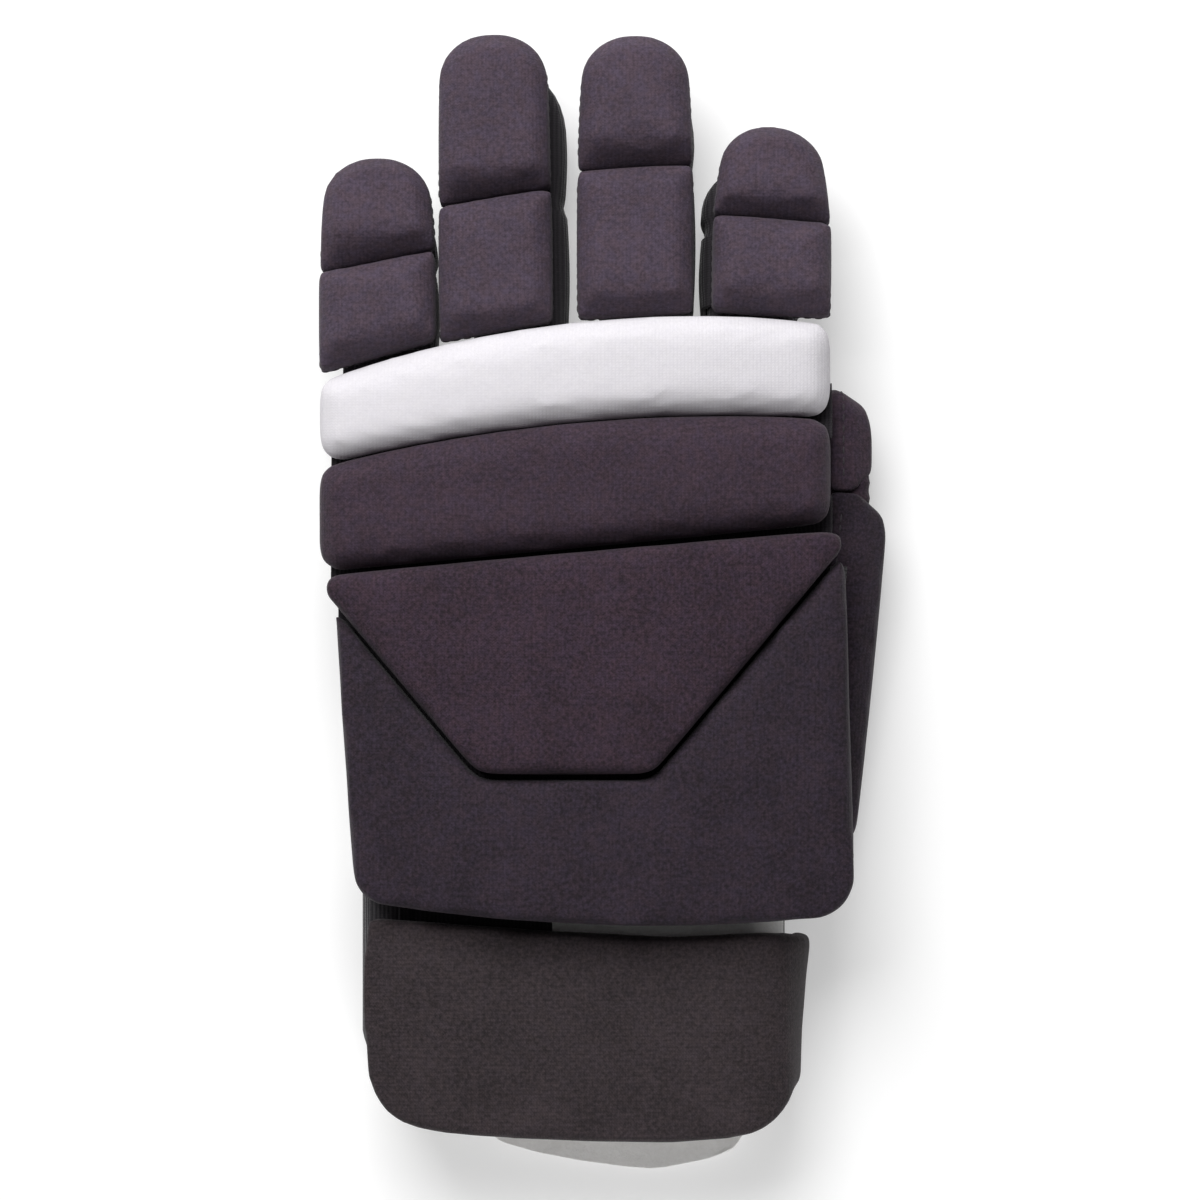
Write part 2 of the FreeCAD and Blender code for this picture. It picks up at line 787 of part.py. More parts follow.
band_left = hand_left + size("band_left_inset")
band_right = hand_right - size("band_right_inset")
band_rear = size("band_rear")
band_top = size("band_top")
band_wall = size("band_wall")
band_round = size("band_round")
band = sleeve("wrist_band", here, band_left, band_right, level, band_top, band_rear, cuff_front,
              band_wall, band_round, band_round)
# the flat part of the cuff's top, between its rounded sides
flat_left = band_left + band_round
flat_right = band_right - band_round
band_notch_left = flat_left + size("band_notch_left_inset")
band_notch_right = flat_right + size("band_notch_right_reach")
band_notch_rear = cuff_front - size("band_notch_depth")
notch_frame = frame(band_notch_left, band_notch_right, band_notch_rear, cuff_front + MARGIN)
notch_sketch = outline(band, "XY_Plane", notch_frame, lift=band_top - band_wall - MARGIN)
pocket(band, notch_sketch, band_wall + 2 * MARGIN, backwards=True)
keep(band)

skin = band_wall + seat
tube_rear = band_rear - size("wrist_lining_rear_reach")
tube = sleeve("wrist_lining", here, band_left + skin, band_right - skin, skin, band_top - skin,
              tube_rear, cuff_front + size("wrist_lining_front_reach"), lining,
              band_round - skin, band_round - skin)
tongue = frame(band_left + size("tongue_left_inset"), band_right - size("tongue_right_inset"),
               tube_rear - size("tongue_length"), tube_rear + MARGIN)
tongue_sketch = outline(tube, "XY_Plane", tongue, lift=skin)
pad(tube, tongue_sketch, lining)
keep(tube)

gusset = new_body("wrist_gusset", here)
gusset_bottom = band_top + seam
gusset_frame = frame(flat_left, flat_right, cuff_front - size("gusset_depth"), cuff_front)
pad(gusset, outline(gusset, "XY_Plane", gusset_frame, lift=gusset_bottom),
    size("back_bottom") - gusset_bottom)
arch_cut(gusset, size("back_bottom") - lining - 2 * seat, arch - lining - 2 * seat, True)
keep(gusset)

# ---------------------------------------------------------------- the strap that closes the cuff

patch = size("patch_thick")
clear = 2 * patch + seat
foot = size("strap_foot")
strap_front = cuff_front - size("strap_front_setback")
strap_rear = band_rear - size("strap_rear_reach")
centre_z = band_top - band_round
wrap = size("strap_wrap")


def strap_block(name, inset):
    """The strap's section: up the thumb side, over the top and a little way down the other side."""
    inner = band_round + clear
    outer = inner + size("strap_thick") - inset
    end_angle = wrap - angle_over(inset, outer)
    start_z = foot + inset
    section = [(flat_right + inner, start_z), (flat_right + outer, start_z),
               (flat_right + outer, centre_z), (flat_right, centre_z + outer),
               (flat_left, centre_z + outer),
               (flat_left - outer * sine(end_angle), centre_z + outer * cosine(end_angle)),
               (flat_left - inner * sine(end_angle), centre_z + inner * cosine(end_angle)),
               (flat_left, centre_z + inner), (flat_right, centre_z + inner),
               (flat_right + inner, centre_z)]
    arcs = {2: outer, 4: outer, 6: -inner, 8: -inner}
    body = new_body(name, here)
    rear = strap_rear + inset
    front = strap_front - inset
    pad(body, outline(body, "XZ_Plane", section, arcs, lift=-rear), front - rear, backwards=True)
    return body


covered("strap", strap_block)


patch_left = flat_left + size("patch_left_inset")
patch_front = strap_front - size("patch_front_inset")
patch_rear = patch_front - size("patch_length")


def patch_block(name, bottom):
    body = new_body(name, here)
    corners = frame(patch_left, patch_left + size("patch_width"), patch_rear, patch_front)
    pad(body, outline(body, "XY_Plane", corners, lift=bottom), patch)
    keep(body)


patch_block("loop_patch", band_top)
patch_block("hook_patch", band_top + patch + seat)

anchor = new_body("strap_anchor", here)
anchor_frame = frame(band_right, band_right + size("anchor_thick"), foot + seat, centre_z)
pad(anchor, outline(anchor, "XZ_Plane", anchor_frame, lift=-patch_rear), patch_front - patch_rear,
    backwards=True)
keep(anchor)

# ---------------------------------------------------------------- checks and files

document.recompute()
for item in document.Objects:
    if "Invalid" in item.State or "Error" in item.State:
        raise RuntimeError("%s failed: %s" % (item.Name, item.State))
for node in nodes:
    if node.Shape.isNull() or not node.Shape.isValid():
        raise RuntimeError("%s has no valid shape" % node.Label)
    if len(node.Shape.Solids) != 1:
        raise RuntimeError("%s has %d solids" % (node.Label, len(node.Shape.Solids)))

os.makedirs("parts", exist_ok=True)
for node in nodes:
    node.Shape.exportStep("parts/%s.step" % node.Label)
print("%d nodes written" % len(nodes))
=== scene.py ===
import json
import math
from contextlib import contextmanager
from functools import cache, partial

import bmesh
import bpy
import numpy as np
from mathutils import Matrix, Vector


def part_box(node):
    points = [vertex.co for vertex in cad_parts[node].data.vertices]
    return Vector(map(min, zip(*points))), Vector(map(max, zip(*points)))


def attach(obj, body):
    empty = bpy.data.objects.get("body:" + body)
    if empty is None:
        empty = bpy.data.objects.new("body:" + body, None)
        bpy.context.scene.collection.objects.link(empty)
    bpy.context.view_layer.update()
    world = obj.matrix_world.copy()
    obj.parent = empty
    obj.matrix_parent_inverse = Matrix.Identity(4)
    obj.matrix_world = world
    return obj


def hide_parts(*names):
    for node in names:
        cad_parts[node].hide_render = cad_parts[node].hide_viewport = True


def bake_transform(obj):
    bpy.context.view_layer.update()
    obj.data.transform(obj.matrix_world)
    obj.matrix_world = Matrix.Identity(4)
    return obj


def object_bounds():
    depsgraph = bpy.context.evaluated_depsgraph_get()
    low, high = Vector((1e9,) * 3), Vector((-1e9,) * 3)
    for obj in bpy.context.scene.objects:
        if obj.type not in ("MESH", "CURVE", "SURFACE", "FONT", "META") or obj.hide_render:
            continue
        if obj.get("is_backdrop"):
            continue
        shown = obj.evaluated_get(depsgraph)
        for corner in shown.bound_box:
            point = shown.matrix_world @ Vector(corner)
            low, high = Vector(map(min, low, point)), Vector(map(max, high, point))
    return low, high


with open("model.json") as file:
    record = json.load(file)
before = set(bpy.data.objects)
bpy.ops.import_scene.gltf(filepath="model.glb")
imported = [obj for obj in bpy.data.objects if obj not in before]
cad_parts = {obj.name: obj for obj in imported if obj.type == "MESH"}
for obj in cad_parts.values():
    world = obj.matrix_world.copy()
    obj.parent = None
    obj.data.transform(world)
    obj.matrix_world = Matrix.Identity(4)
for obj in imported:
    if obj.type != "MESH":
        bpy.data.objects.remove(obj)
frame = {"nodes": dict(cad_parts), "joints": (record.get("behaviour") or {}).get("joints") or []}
cad_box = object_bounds()

# A padded field hockey glove for the left hand, lying palm down. +X runs across the hand to the
# thumb, +Y to the fingertips and +Z out of the back of the hand. Lengths are in metres.

MM = 0.001
SAME_PLACE = 0.001 * MM
FINGERS = ("little", "ring", "middle", "index")
DIGITS = FINGERS + ("thumb",)
joints = {joint["name"]: joint for joint in frame["joints"]}
X_WAY, Y_WAY, Z_WAY = Vector((1, 0, 0)), Vector((0, 1, 0)), Vector((0, 0, 1))
QUARTER = math.radians(90)


# ---------------------------------------------------------------- hands on a piece

def pick(piece):
    """Make one piece the only one that the tools act on."""
    bpy.ops.object.select_all(action="DESELECT")
    piece.select_set(True)
    bpy.context.view_layer.objects.active = piece


@contextmanager
def editing(piece, kind="VERT", whole=False):
    """Edit mode on one piece, picking by vertex, edge or face, with all of it picked if asked."""
    pick(piece)
    bpy.ops.object.mode_set(mode="EDIT")
    bpy.ops.mesh.select_mode(type=kind)
    if whole:
        bpy.ops.mesh.select_all(action="SELECT")
    yield
    bpy.ops.object.mode_set(mode="OBJECT")


def choose(piece, kind, test):
    """Select the vertices, edges or polygons that pass a test, and nothing else."""
    for group in (piece.data.vertices, piece.data.edges, piece.data.polygons):
        group.foreach_set("select", [False] * len(group))
    for item in getattr(piece.data, kind):
        item.select = bool(test(item))


def cut_out(piece, kind, test):
    """Delete the edges or polygons that pass a test."""
    choose(piece, kind, test)
    item = {"edges": "EDGE", "polygons": "FACE"}[kind]
    with editing(piece, item):
        bpy.ops.mesh.delete(type=item)


def face_outwards():
    """Turn every face of the piece in edit mode outwards."""
    bpy.ops.mesh.select_all(action="SELECT")
    bpy.ops.mesh.normals_make_consistent(inside=False)


def cut_through(piece, place, way):
    """Cut a piece at a plane and keep both sides."""
    with editing(piece, whole=True):
        bpy.ops.mesh.bisect(plane_co=place, plane_no=way)


def divide_long(piece, longest, cuts):
    """Divide the edges that are longer than this."""
    spots = piece.data.vertices
    choose(piece, "edges", lambda edge: (
        spots[edge.vertices[0]].co - spots[edge.vertices[1]].co).length > longest)
    with editing(piece, "EDGE"):
        bpy.ops.mesh.subdivide(number_cuts=cuts)


def named(name):
    """Name the primitive that was just added."""
    piece = bpy.context.object
    piece.name = name
    piece.data.name = name
    return piece


def square(name, size=1, height=0):
    """A flat square about the origin."""
    bpy.ops.object.select_all(action="DESELECT")
    bpy.ops.mesh.primitive_plane_add(size=size, location=(0, 0, height))
    return named(name)


def rows_of(items, what):
    """One row of three numbers for each vertex or face."""
    values = np.empty(len(items) * 3)
    items.foreach_get(what, values)
    return values.reshape(-1, 3)


def places(piece):
    """Every vertex place of a piece, one row each."""
    return rows_of(piece.data.vertices, "co")


def put(piece, spots):
    piece.data.vertices.foreach_set("co", np.asarray(spots, float).ravel())
    piece.data.update()


@contextmanager
def moving(piece, turn=None):
    """A piece's places, along the axes of a digit's frame if one is given, put back once moved."""
    if turn is None:
        spots = places(piece)
        yield spots
    else:
        away = np.array(turn.inverted())
        to_frame, shift = away[:3, :3], away[:3, 3]
        spots = places(piece) @ to_frame.T + shift
        yield spots
        spots = (spots - shift) @ to_frame
    put(piece, spots)


def fading(distance, reach):
    """1 where the distance is nothing, down to 0 at the reach."""
    return np.clip(1 - distance / reach, 0, 1)


def finish_with(piece, kind, **settings):
    """Add a modifier and apply it."""
    modifier = piece.modifiers.new(kind.lower(), kind)
    for name, value in settings.items():
        setattr(modifier, name, value)
    pick(piece)
    bpy.ops.object.modifier_apply(modifier=modifier.name)


def copy_of(node):
    """A merged copy of a CAD solid."""
    piece = bpy.data.objects.new(node + "_copy", frame["nodes"][node].data.copy())
    bpy.context.scene.collection.objects.link(piece)
    piece.data.materials.clear()
    with editing(piece, whole=True):
        bpy.ops.mesh.remove_doubles(threshold=SAME_PLACE)
    return piece


def joined(name, pieces):
    pick(pieces[0])
    for piece in pieces:
        piece.select_set(True)
    bpy.ops.object.join()
    return named(name)


def settle(piece, finish, bodies, slot, stands_for=(), **cut):
    """Dress a piece and set it on its body; a piece that lies across a joint is left without one.
    cut is not used.
    """
    dress(piece, finish)
    if isinstance(bodies, str):
        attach(piece, bodies)
    else:
        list(bodies)
        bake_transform(piece)
    if stands_for:
        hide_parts(*stands_for)


# ---------------------------------------------------------------- where the CAD parts are

# The thumb lies on its side with its pad facing +X, and its base leans out by this much.
THUMB_LEAN = math.radians(5.7)
ON_ITS_SIDE = Matrix.Rotation(QUARTER, 4, "Y")


def pivot_of(joint_name):
    return Vector(joints[joint_name]["pos_m"])


def digit_turn(digit, lean=0.0):
    """A digit's middle joint's frame: x is across the digit, y along it and z out of its pad."""
    if digit == "thumb":
        joint = Matrix.Translation(pivot_of("thumb_bend"))
        return joint @ Matrix.Rotation(-lean, 4, "Z") @ ON_ITS_SIDE
    middle = pivot_of(digit + "_middle_joint")
    along = (middle - pivot_of(digit + "_knuckle")).normalized()
    across = -Vector(joints[digit + "_knuckle"]["axis"]).normalized()
    turn = Matrix((across, along, across.cross(along))).transposed().to_4x4()
    return Matrix.Translation(middle) @ turn


def reach_in(node, turn):
    """A CAD solid's lowest and highest places along the axes of a digit's frame."""
    away = turn.inverted()
    spots = np.array([away @ vertex.co for vertex in frame["nodes"][node].data.vertices])
    return spots.min(axis=0), spots.max(axis=0)


@cache
def edge_ends(node):
    """Both ends of every edge of a CAD solid."""
    mesh = frame["nodes"][node].data
    spots = np.array([vertex.co for vertex in mesh.vertices])
    pairs = np.array([edge.vertices for edge in mesh.edges])
    return spots[pairs[:, 0]], spots[pairs[:, 1]]


def section_at(node, x):
    """Where a CAD solid's edges cross the plane at x."""
    first, last = edge_ends(node)
    crossing = (first[:, 0] - x) * (last[:, 0] - x) < 0
    first, last = first[crossing], last[crossing]
    share = (x - first[:, 0]) / (last[:, 0] - first[:, 0])
    return first + share[:, None] * (last - first)


@cache
def lining_floor(node, x):
    """How low a lining hangs at x; beyond its side edge, as low as at that edge."""
    low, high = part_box(node)
    section = section_at(node, min(max(x, low.x + 0.1 * MM), high.x - 0.1 * MM))
    return section[:, 2].min()


# ---------------------------------------------------------------- finishes

class Value:
    """A number that runs through a finish's nodes. Sums and products on it add Math nodes."""

    def __init__(self, finish, socket):
        self.finish = finish
        self.socket = socket

    def maths(self, operation, *values):
        return self.finish.node("ShaderNodeMath", {"operation": operation}, dict(enumerate(values)))

    def __add__(self, other):
        return self.maths("ADD", self, other)

    __radd__ = __add__

    def __sub__(self, other):
        return self.maths("SUBTRACT", self, other)

    def __rsub__(self, other):
        return self.maths("SUBTRACT", other, self)

    def __mul__(self, other):
        return self.maths("MULTIPLY", self, other)

    def __truediv__(self, other):
        return self.maths("DIVIDE", self, other)

    def of(self, operation, *values):
        """This value through a Math node, such as SINE or FRACT."""
        return self.maths(operation, self, *values)


class Finish:
    """A material that is being made up."""

    def __init__(self, name, sheen, rough):
        self.material = bpy.data.materials.new(name)
        self.material.use_nodes = True
        self.tree = self.material.node_tree
        self.shader = self.tree.nodes["Principled BSDF"]
        self.give({"Roughness": rough, "Sheen Weight": sheen, "Sheen Roughness": 0.45,
                   "Specular IOR Level": 0.25})

    def node(self, kind, settings, sockets, output=0):
        made = self.tree.nodes.new(kind)
        for name, value in settings.items():
            if name == "stops":
                self.set_stops(made.color_ramp, value)
            else:
                setattr(made, name, value)
        for name, value in sockets.items():
            self.feed(made.inputs[name], value)
        return Value(self, made.outputs[output])

    def give(self, values):
        """Set the shader's own inputs."""
        for name, value in values.items():
            self.feed(self.shader.inputs[name], value)

    def feed(self, socket, value):
        if isinstance(value, Value):
            self.tree.links.new(value.socket, socket)
        else:
            socket.default_value = value

    def set_stops(self, ramp, stops):
        while len(ramp.elements) < len(stops):
            ramp.elements.new(0.5)
        for element, (place, colour) in zip(ramp.elements, stops):
            element.position = place
            element.color = colour

    def cloth_map(self):
        """Distances across and along the cloth."""
        spot = self.node("ShaderNodeUVMap", {"uv_map": "cloth"}, {})
        return [self.node("ShaderNodeSeparateXYZ", {}, {0: spot}, output) for output in (0, 1)]

    def noise(self, size, detail=2.0, rough=0.5):
        """Cloudy noise whose features are about this big."""
        spot = self.node("ShaderNodeTexCoord", {}, {}, "Object")
        return self.node("ShaderNodeTexNoise", {},
                         {"Vector": spot, "Scale": 1 / size, "Detail": detail, "Roughness": rough})

    def ramp(self, value, *stops):
        """A value turned into a colour by stops of place and colour."""
        return self.node("ShaderNodeValToRGB", {"stops": stops}, {"Fac": value})

    def mixed(self, share, first, last):
        """Two colours mixed by a value."""
        return self.node("ShaderNodeMix", {"data_type": "RGBA"},
                         {"Factor": share, 6: first, 7: last}, 2)

    def raised(self, height, depth, strength=1.0, under=None):
        """A bump this deep, over another where one is given."""
        sockets = {"Height": height, "Distance": depth, "Strength": strength}
        if under is not None:
            sockets["Normal"] = under
        return self.node("ShaderNodeBump", {}, sockets)

    def done(self, colour, roughness, normal):
        """The material, with its colour, roughness and normal."""
        self.give({"Base Color": colour, "Roughness": roughness, "Normal": normal})
        return self.material


def tint(red, green, blue, share=1.0):
    return (red * share, green * share, blue * share, 1.0)


def wave(turns):
    """A sine wave from 0 to 1."""
    return (turns * math.tau).of("SINE") * 0.5 + 0.5


# How wide and how long one loop of the jersey is.
WALE, COURSE = 0.85 * MM, 0.65 * MM


def jersey(name, yarn_colour, contrast, cast, painted_hollow_shade, sheen):
    """Fine knitted jersey drawn over foam: columns of loops shaped like a V.

    Its yarn is mottled, and in places leans to another cast. Between its loops the colour is
    darkened, a painted shade.
    """
    finish = Finish(name, sheen, 0.86)
    dark, light = tint(*yarn_colour, 1 - contrast), tint(*yarn_colour, 1 + contrast)
    across, along = finish.cloth_map()
    aside = ((across / WALE).of("FRACT") * 2 - 1).of("ABSOLUTE")
    height = wave(along / COURSE + aside * 0.5) * 0.45 + (1 - aside * aside) * 0.55
    fleck = finish.noise(0.8 * MM, 3.0, 0.65)
    cloud, patch = finish.noise(14 * MM), finish.noise(2.6 * MM)
    yarn = finish.ramp(fleck * 0.8 + cloud * 0.2, (0.36, dark), (0.64, light))
    warm = finish.ramp(patch, (0.38, tint(*cast)), (0.62, tint(1, 1, 1)))
    yarn = finish.node("ShaderNodeVectorMath", {"operation": "MULTIPLY"}, {0: yarn, 1: warm})
    soft = finish.raised(finish.noise(9 * MM), 0.35 * MM, 0.5)
    # The colour darkens towards the hollows between the loops: painted shade.
    return finish.done(finish.mixed((1 - height) * 0.4, yarn, tint(*yarn_colour, painted_hollow_shade)),
                       0.8 + fleck * 0.15,
                       finish.raised(height + fleck * 0.6, 0.12 * MM, 0.55, soft))


def rib_knit(name, dark, light):
    """Stretch knit with ribs along the digit."""
    finish = Finish(name, 0.15, 0.88)
    across, along = finish.cloth_map()
    height = wave(across / (1.0 * MM)) * 0.7 + wave(along / (0.6 * MM)) * 0.3
    fleck = finish.noise(0.8 * MM, 3.0, 0.6)
    soft = finish.raised(finish.noise(7 * MM), 0.5 * MM, 0.6)
    # Its colour is darker in the valleys between the ribs, a painted shade, and mottled at random.
    return finish.done(finish.ramp(height * 0.55 + fleck * 0.45, (0.2, dark), (0.8, light)),
                       0.82 + fleck * 0.14,
                       finish.raised(height + fleck * 0.3, 0.25 * MM, 0.6, soft))


def brushed_lining(name, dark, light):
    """Napped lining cloth with a loose, cloudy surface."""
    finish = Finish(name, 0.35, 0.95)
    nap, fold = finish.noise(1.1 * MM, 5.0, 0.7), finish.noise(8 * MM)
    return finish.done(finish.ramp(nap * 0.6 + fold * 0.4, (0.3, dark), (0.65, light)),
                       0.88 + nap * 0.1,
                       finish.raised(nap, 0.35 * MM, 0.8, finish.raised(fold, 0.8 * MM, 0.6)))


def elastic_web(name, dark, light):
    """Woven elastic: cords along its length, crossed by the weft."""
    finish = Finish(name, 0.1, 0.75)
    across, along = finish.cloth_map()
    side = (across / (2.8 * MM)).of("FRACT").of("GREATER_THAN", 0.5)
    height = wave(across / (1.4 * MM)) * 0.6 + wave(along / (0.9 * MM) + side * 0.5) * 0.4
    fleck = finish.noise(0.7 * MM)
    # Its colour is darker in the low parts of the weave, a painted shade, and mottled at random.
    return finish.done(finish.ramp(height * 0.7 + fleck * 0.3, (0.15, dark), (0.85, light)),
                       0.65 + fleck * 0.2, finish.raised(height, 0.3 * MM, 0.8))


def hook_tape(name, dark, light):
    """A field of small moulded hooks."""
    finish = Finish(name, 0.0, 0.45)
    across, along = (((side / (1.2 * MM)) * math.tau).of("SINE") for side in finish.cloth_map())
    head = (across * along * 0.5 + 0.5).of("POWER", 2.0)
    # Its colour is lighter on the hook heads and darker between them: a painted highlight and
    # painted shade.
    return finish.done(finish.ramp(head, (0.1, dark), (0.8, light)), 0.5 - head * 0.15,
                       finish.raised(head, 0.5 * MM, 0.9))


def loop_tape(name, dark, light):
    """A mat of tangled loops."""
    finish = Finish(name, 0.5, 0.95)
    tangle, mat = finish.noise(0.5 * MM, 6.0, 0.8), finish.noise(3 * MM, 3.0)
    return finish.done(finish.ramp(tangle * 0.7 + mat * 0.3, (0.3, dark), (0.7, light)),
                       0.85 + tangle * 0.1, finish.raised(tangle + mat * 0.5, 0.5 * MM, 0.9))


def thread(name, dark, light):
    """Twisted sewing thread."""
    finish = Finish(name, 0.1, 0.6)
    twist = finish.noise(0.35 * MM)
    return finish.done(finish.mixed(twist, light, dark), 0.5 + twist * 0.2,
                       finish.raised(twist, 0.08 * MM, 0.6))


SLATE = (0.024, 0.021, 0.025)
THREAD = (0.05, 0.042, 0.05)
# Each jersey's yarn, how much it is mottled, the cast that it leans to, how much shade is painted
# between its loops, and its sheen.
BLUE_CAST = (0.92, 0.99, 1.10)
# The bar, crest, back and cuff jerseys are darker copies of the finger jersey: painted shade for
# light that falls off from the fingertips towards the wrist. The cuff jersey also leans less to
# blue.
JERSEYS = {
    "finger jersey": ((0.064, 0.044, 0.060), 0.38, BLUE_CAST, 0.6, 0.06),
    "bar jersey": ((0.043, 0.0262, 0.0375), 0.46, BLUE_CAST, 0.6, 0.06),
    "crest jersey": ((0.0350, 0.0200, 0.0295), 0.6, BLUE_CAST, 0.6, 0.05),
    "back jersey": ((0.0265, 0.0172, 0.0250), 0.62, BLUE_CAST, 0.6, 0.05),
    "cuff jersey": ((0.0325, 0.0240, 0.0262), 0.55, (0.97, 0.99, 1.05), 0.6, 0.05),
    "white jersey": ((0.665, 0.645, 0.675), 0.04, (0.99, 0.99, 1.0), 0.93, 0.05),
}
# The other finishes, each with its darkest and lightest tint.
OTHERS = {
    "sleeve knit": (rib_knit, tint(*SLATE, 0.55), tint(*SLATE, 1.3)),
    "band knit": (rib_knit, tint(*SLATE, 0.6), tint(*SLATE, 1.3)),
    "brushed lining": (brushed_lining, tint(0.84, 0.825, 0.81), tint(0.96, 0.95, 0.94)),
    "elastic": (elastic_web, tint(0.012, 0.012, 0.014), tint(0.05, 0.048, 0.052)),
    "hooks": (hook_tape, tint(0.012, 0.012, 0.013), tint(0.045, 0.045, 0.05)),
    "loops": (loop_tape, tint(0.015, 0.014, 0.016), tint(0.055, 0.052, 0.057)),
    "dark thread": (thread, tint(*THREAD, 0.6), tint(*THREAD)),
}
FINISHES = {name: jersey(name, *makeup) for name, makeup in JERSEYS.items()}
FINISHES.update((name, make(name, *tints)) for name, (make, *tints) in OTHERS.items())


def dress(piece, finish):
    piece.data.materials.clear()
    piece.data.materials.append(FINISHES[finish])


def lay_cloth(piece, turn=Matrix.Identity(4)):
    """Give a piece its cloth map: on every side v runs along the piece's y axis and u across it."""
    mesh = piece.data
    away = np.array(turn.inverted().to_3x3())
    spots = places(piece) @ away.T
    facing = np.abs(rows_of(mesh.polygons, "normal") @ away.T)
    sides = np.empty(len(mesh.polygons), int)
    mesh.polygons.foreach_get("loop_total", sides)
    corners = np.empty(len(mesh.loops), int)
    mesh.loops.foreach_get("vertex_index", corners)
    facing = np.repeat(facing.argmax(axis=1), sides)
    spots = spots[corners]
    u = np.where(facing == 0, spots[:, 2], spots[:, 0])
    v = np.where(facing == 1, spots[:, 2], spots[:, 1])
    layer = mesh.uv_layers.get("cloth") or mesh.uv_layers.new(name="cloth")
    layer.data.foreach_set("uv", np.stack([u, v], axis=1).ravel())


# ---------------------------------------------------------------- pads

# How far pressure may lift a pad's cover, in how many steps, and how coarse the pads are then.
SWELL, SWELL_STEPS = 0.5 * MM, 14
FINE_MESH, STRAP_MESH, WIDE_MESH = 1.0 * MM, 1.3 * MM, 1.6 * MM


def pad_form(node, mesh_size, softening, shape):
    """A pad's cover and foam as one closed form, shaped further, with softened edges."""
    form = joined(node + "_pad", [copy_of(node + "_cover"), copy_of(node + "_foam")])
    finish_with(form, "REMESH", mode="VOXEL", voxel_size=mesh_size)
    shape(form)
    finish_with(form, "REMESH", mode="VOXEL", voxel_size=mesh_size)
    finish_with(form, "SMOOTH", factor=0.5, iterations=softening)
    return form


def push(form, way, reach):
    """Move what faces one way further that way."""
    facing = rows_of(form.data.vertices, "normal")
    share = np.clip((facing @ np.array(way) - 0.5) / 0.3, 0, 1)
    put(form, places(form) + share[:, None] * np.array(way) * reach)


def arch_front(spots, low, high, corner, arch):
    """Draw a fingertip's square front in to a full arch, this long."""
    half = (high[0] - low[0]) / 2
    aside = np.clip(np.abs(spots[:, 0] - (low[0] + high[0]) / 2), 0, half)
    was = high[1] - corner + np.sqrt(corner ** 2 - np.clip(aside - half + corner, 0, corner) ** 2)
    now = high[1] - arch + arch * (1 - (aside / half) ** 2.3) ** (1 / 2.3)
    root = high[1] - arch - 1.5 * MM
    ahead = np.clip(spots[:, 1] - root, 0, None)
    spots[:, 1] = np.where(ahead > 0, root + ahead * (now - root) / (was - root), spots[:, 1])


def rise_of(spots, low, high):
    """How far up a pad each place is, from 0 at its foot to 1 at its top."""
    return np.clip((spots[:, 2] - low[2]) / (high[2] - low[2]), 0, 1)


def slope_rear(spots, low, high, long, deep):
    """Slope a pad's top down to its rear edge."""
    spots[:, 2] -= deep * fading(spots[:, 1] - low[1], long) * rise_of(spots, low, high)


# How long and how deep the slope is at the rear of each finger pad.
TIP_SLOPE = {"little": (8.5, 7.0), "ring": (8.0, 7.0), "middle": (7.0, 6.5), "index": (5.0, 5.0)}
BASE_SLOPE = (5.5, 3.5)


def finger_shape(form, node, turn):
    """Round a fingertip's pad, bow the front of a base pad, and slope the rear of both."""
    digit, part = node.split("_")
    low, high = reach_in(node + "_cover", turn)
    middle, half = (low[0] + high[0]) / 2, (high[0] - low[0]) / 2
    with moving(form, turn) as spots:
        if digit == "index":
            spots[:, 0] += 1.8 * MM * np.clip((middle - spots[:, 0]) / half, 0, 1) ** 2
        if part == "tip":
            arch_front(spots, low, high, 10 * MM, 13 * MM)
        else:
            front = fading(high[1] - spots[:, 1], 4 * MM)
            bow = 1 - ((spots[:, 0] - middle) / half) ** 2
            spots[:, 1] += front * (0.1 + 0.5 * np.clip(bow, 0, 1)) * MM
        long, deep = TIP_SLOPE[digit] if part == "tip" else BASE_SLOPE
        slope_rear(spots, low, high, long * MM, deep * MM)


def thumb_shape(form, node, turn):
    """Shape the thumb's pads, which stand fuller than the fingers' and meet at its joint."""
    low, high = reach_in(node + "_cover", turn)
    with moving(form, turn) as spots:
        rise = rise_of(spots, low, high)
        if node == "thumb_tip":
            ahead = np.clip((spots[:, 1] - high[1] + 13 * MM) / (13.5 * MM), 0, 1)
            spots[:, 2] = low[2] + (spots[:, 2] - low[2]) * (1 - ahead ** 2.2) ** (1 / 2.2)
            spots[:, 1] -= fading(spots[:, 1] - low[1], 5 * MM) * 0.8 * MM
            spots[:, 2] -= (1 - rise) * 1.3 * MM
        else:
            ahead = fading(high[1] - spots[:, 1], 8.5 * MM)
            spots[:, 2] += rise * (2.3 - 3.6 * ahead ** 1.4) * MM
            spots[:, 1] += ahead * 0.8 * MM
            spots[:, 2] -= (1 - rise) * ahead * 1.3 * MM


def panel_shape(form):
    """Draw the panel's thin left corner up beside the crest."""
    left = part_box("panel_cover")[0].x
    with moving(form) as spots:
        near = fading(spots[:, 0] - left, 7 * MM)
        up = np.clip((spots[:, 1] + 22 * MM) / (16 * MM), 0, 1)
        spots[:, 1] += 0.8 * MM * near * up


def sew_down(pad, down):
    """Pin the underside, where the pad is sewn to the glove. down gives the way down at a place."""
    underside = [vertex.index for vertex in pad.data.vertices
                 if vertex.normal.dot(down(vertex.co)) > 0.3]
    pad.vertex_groups.new(name="sewn down").add(underside, 1.0, "REPLACE")


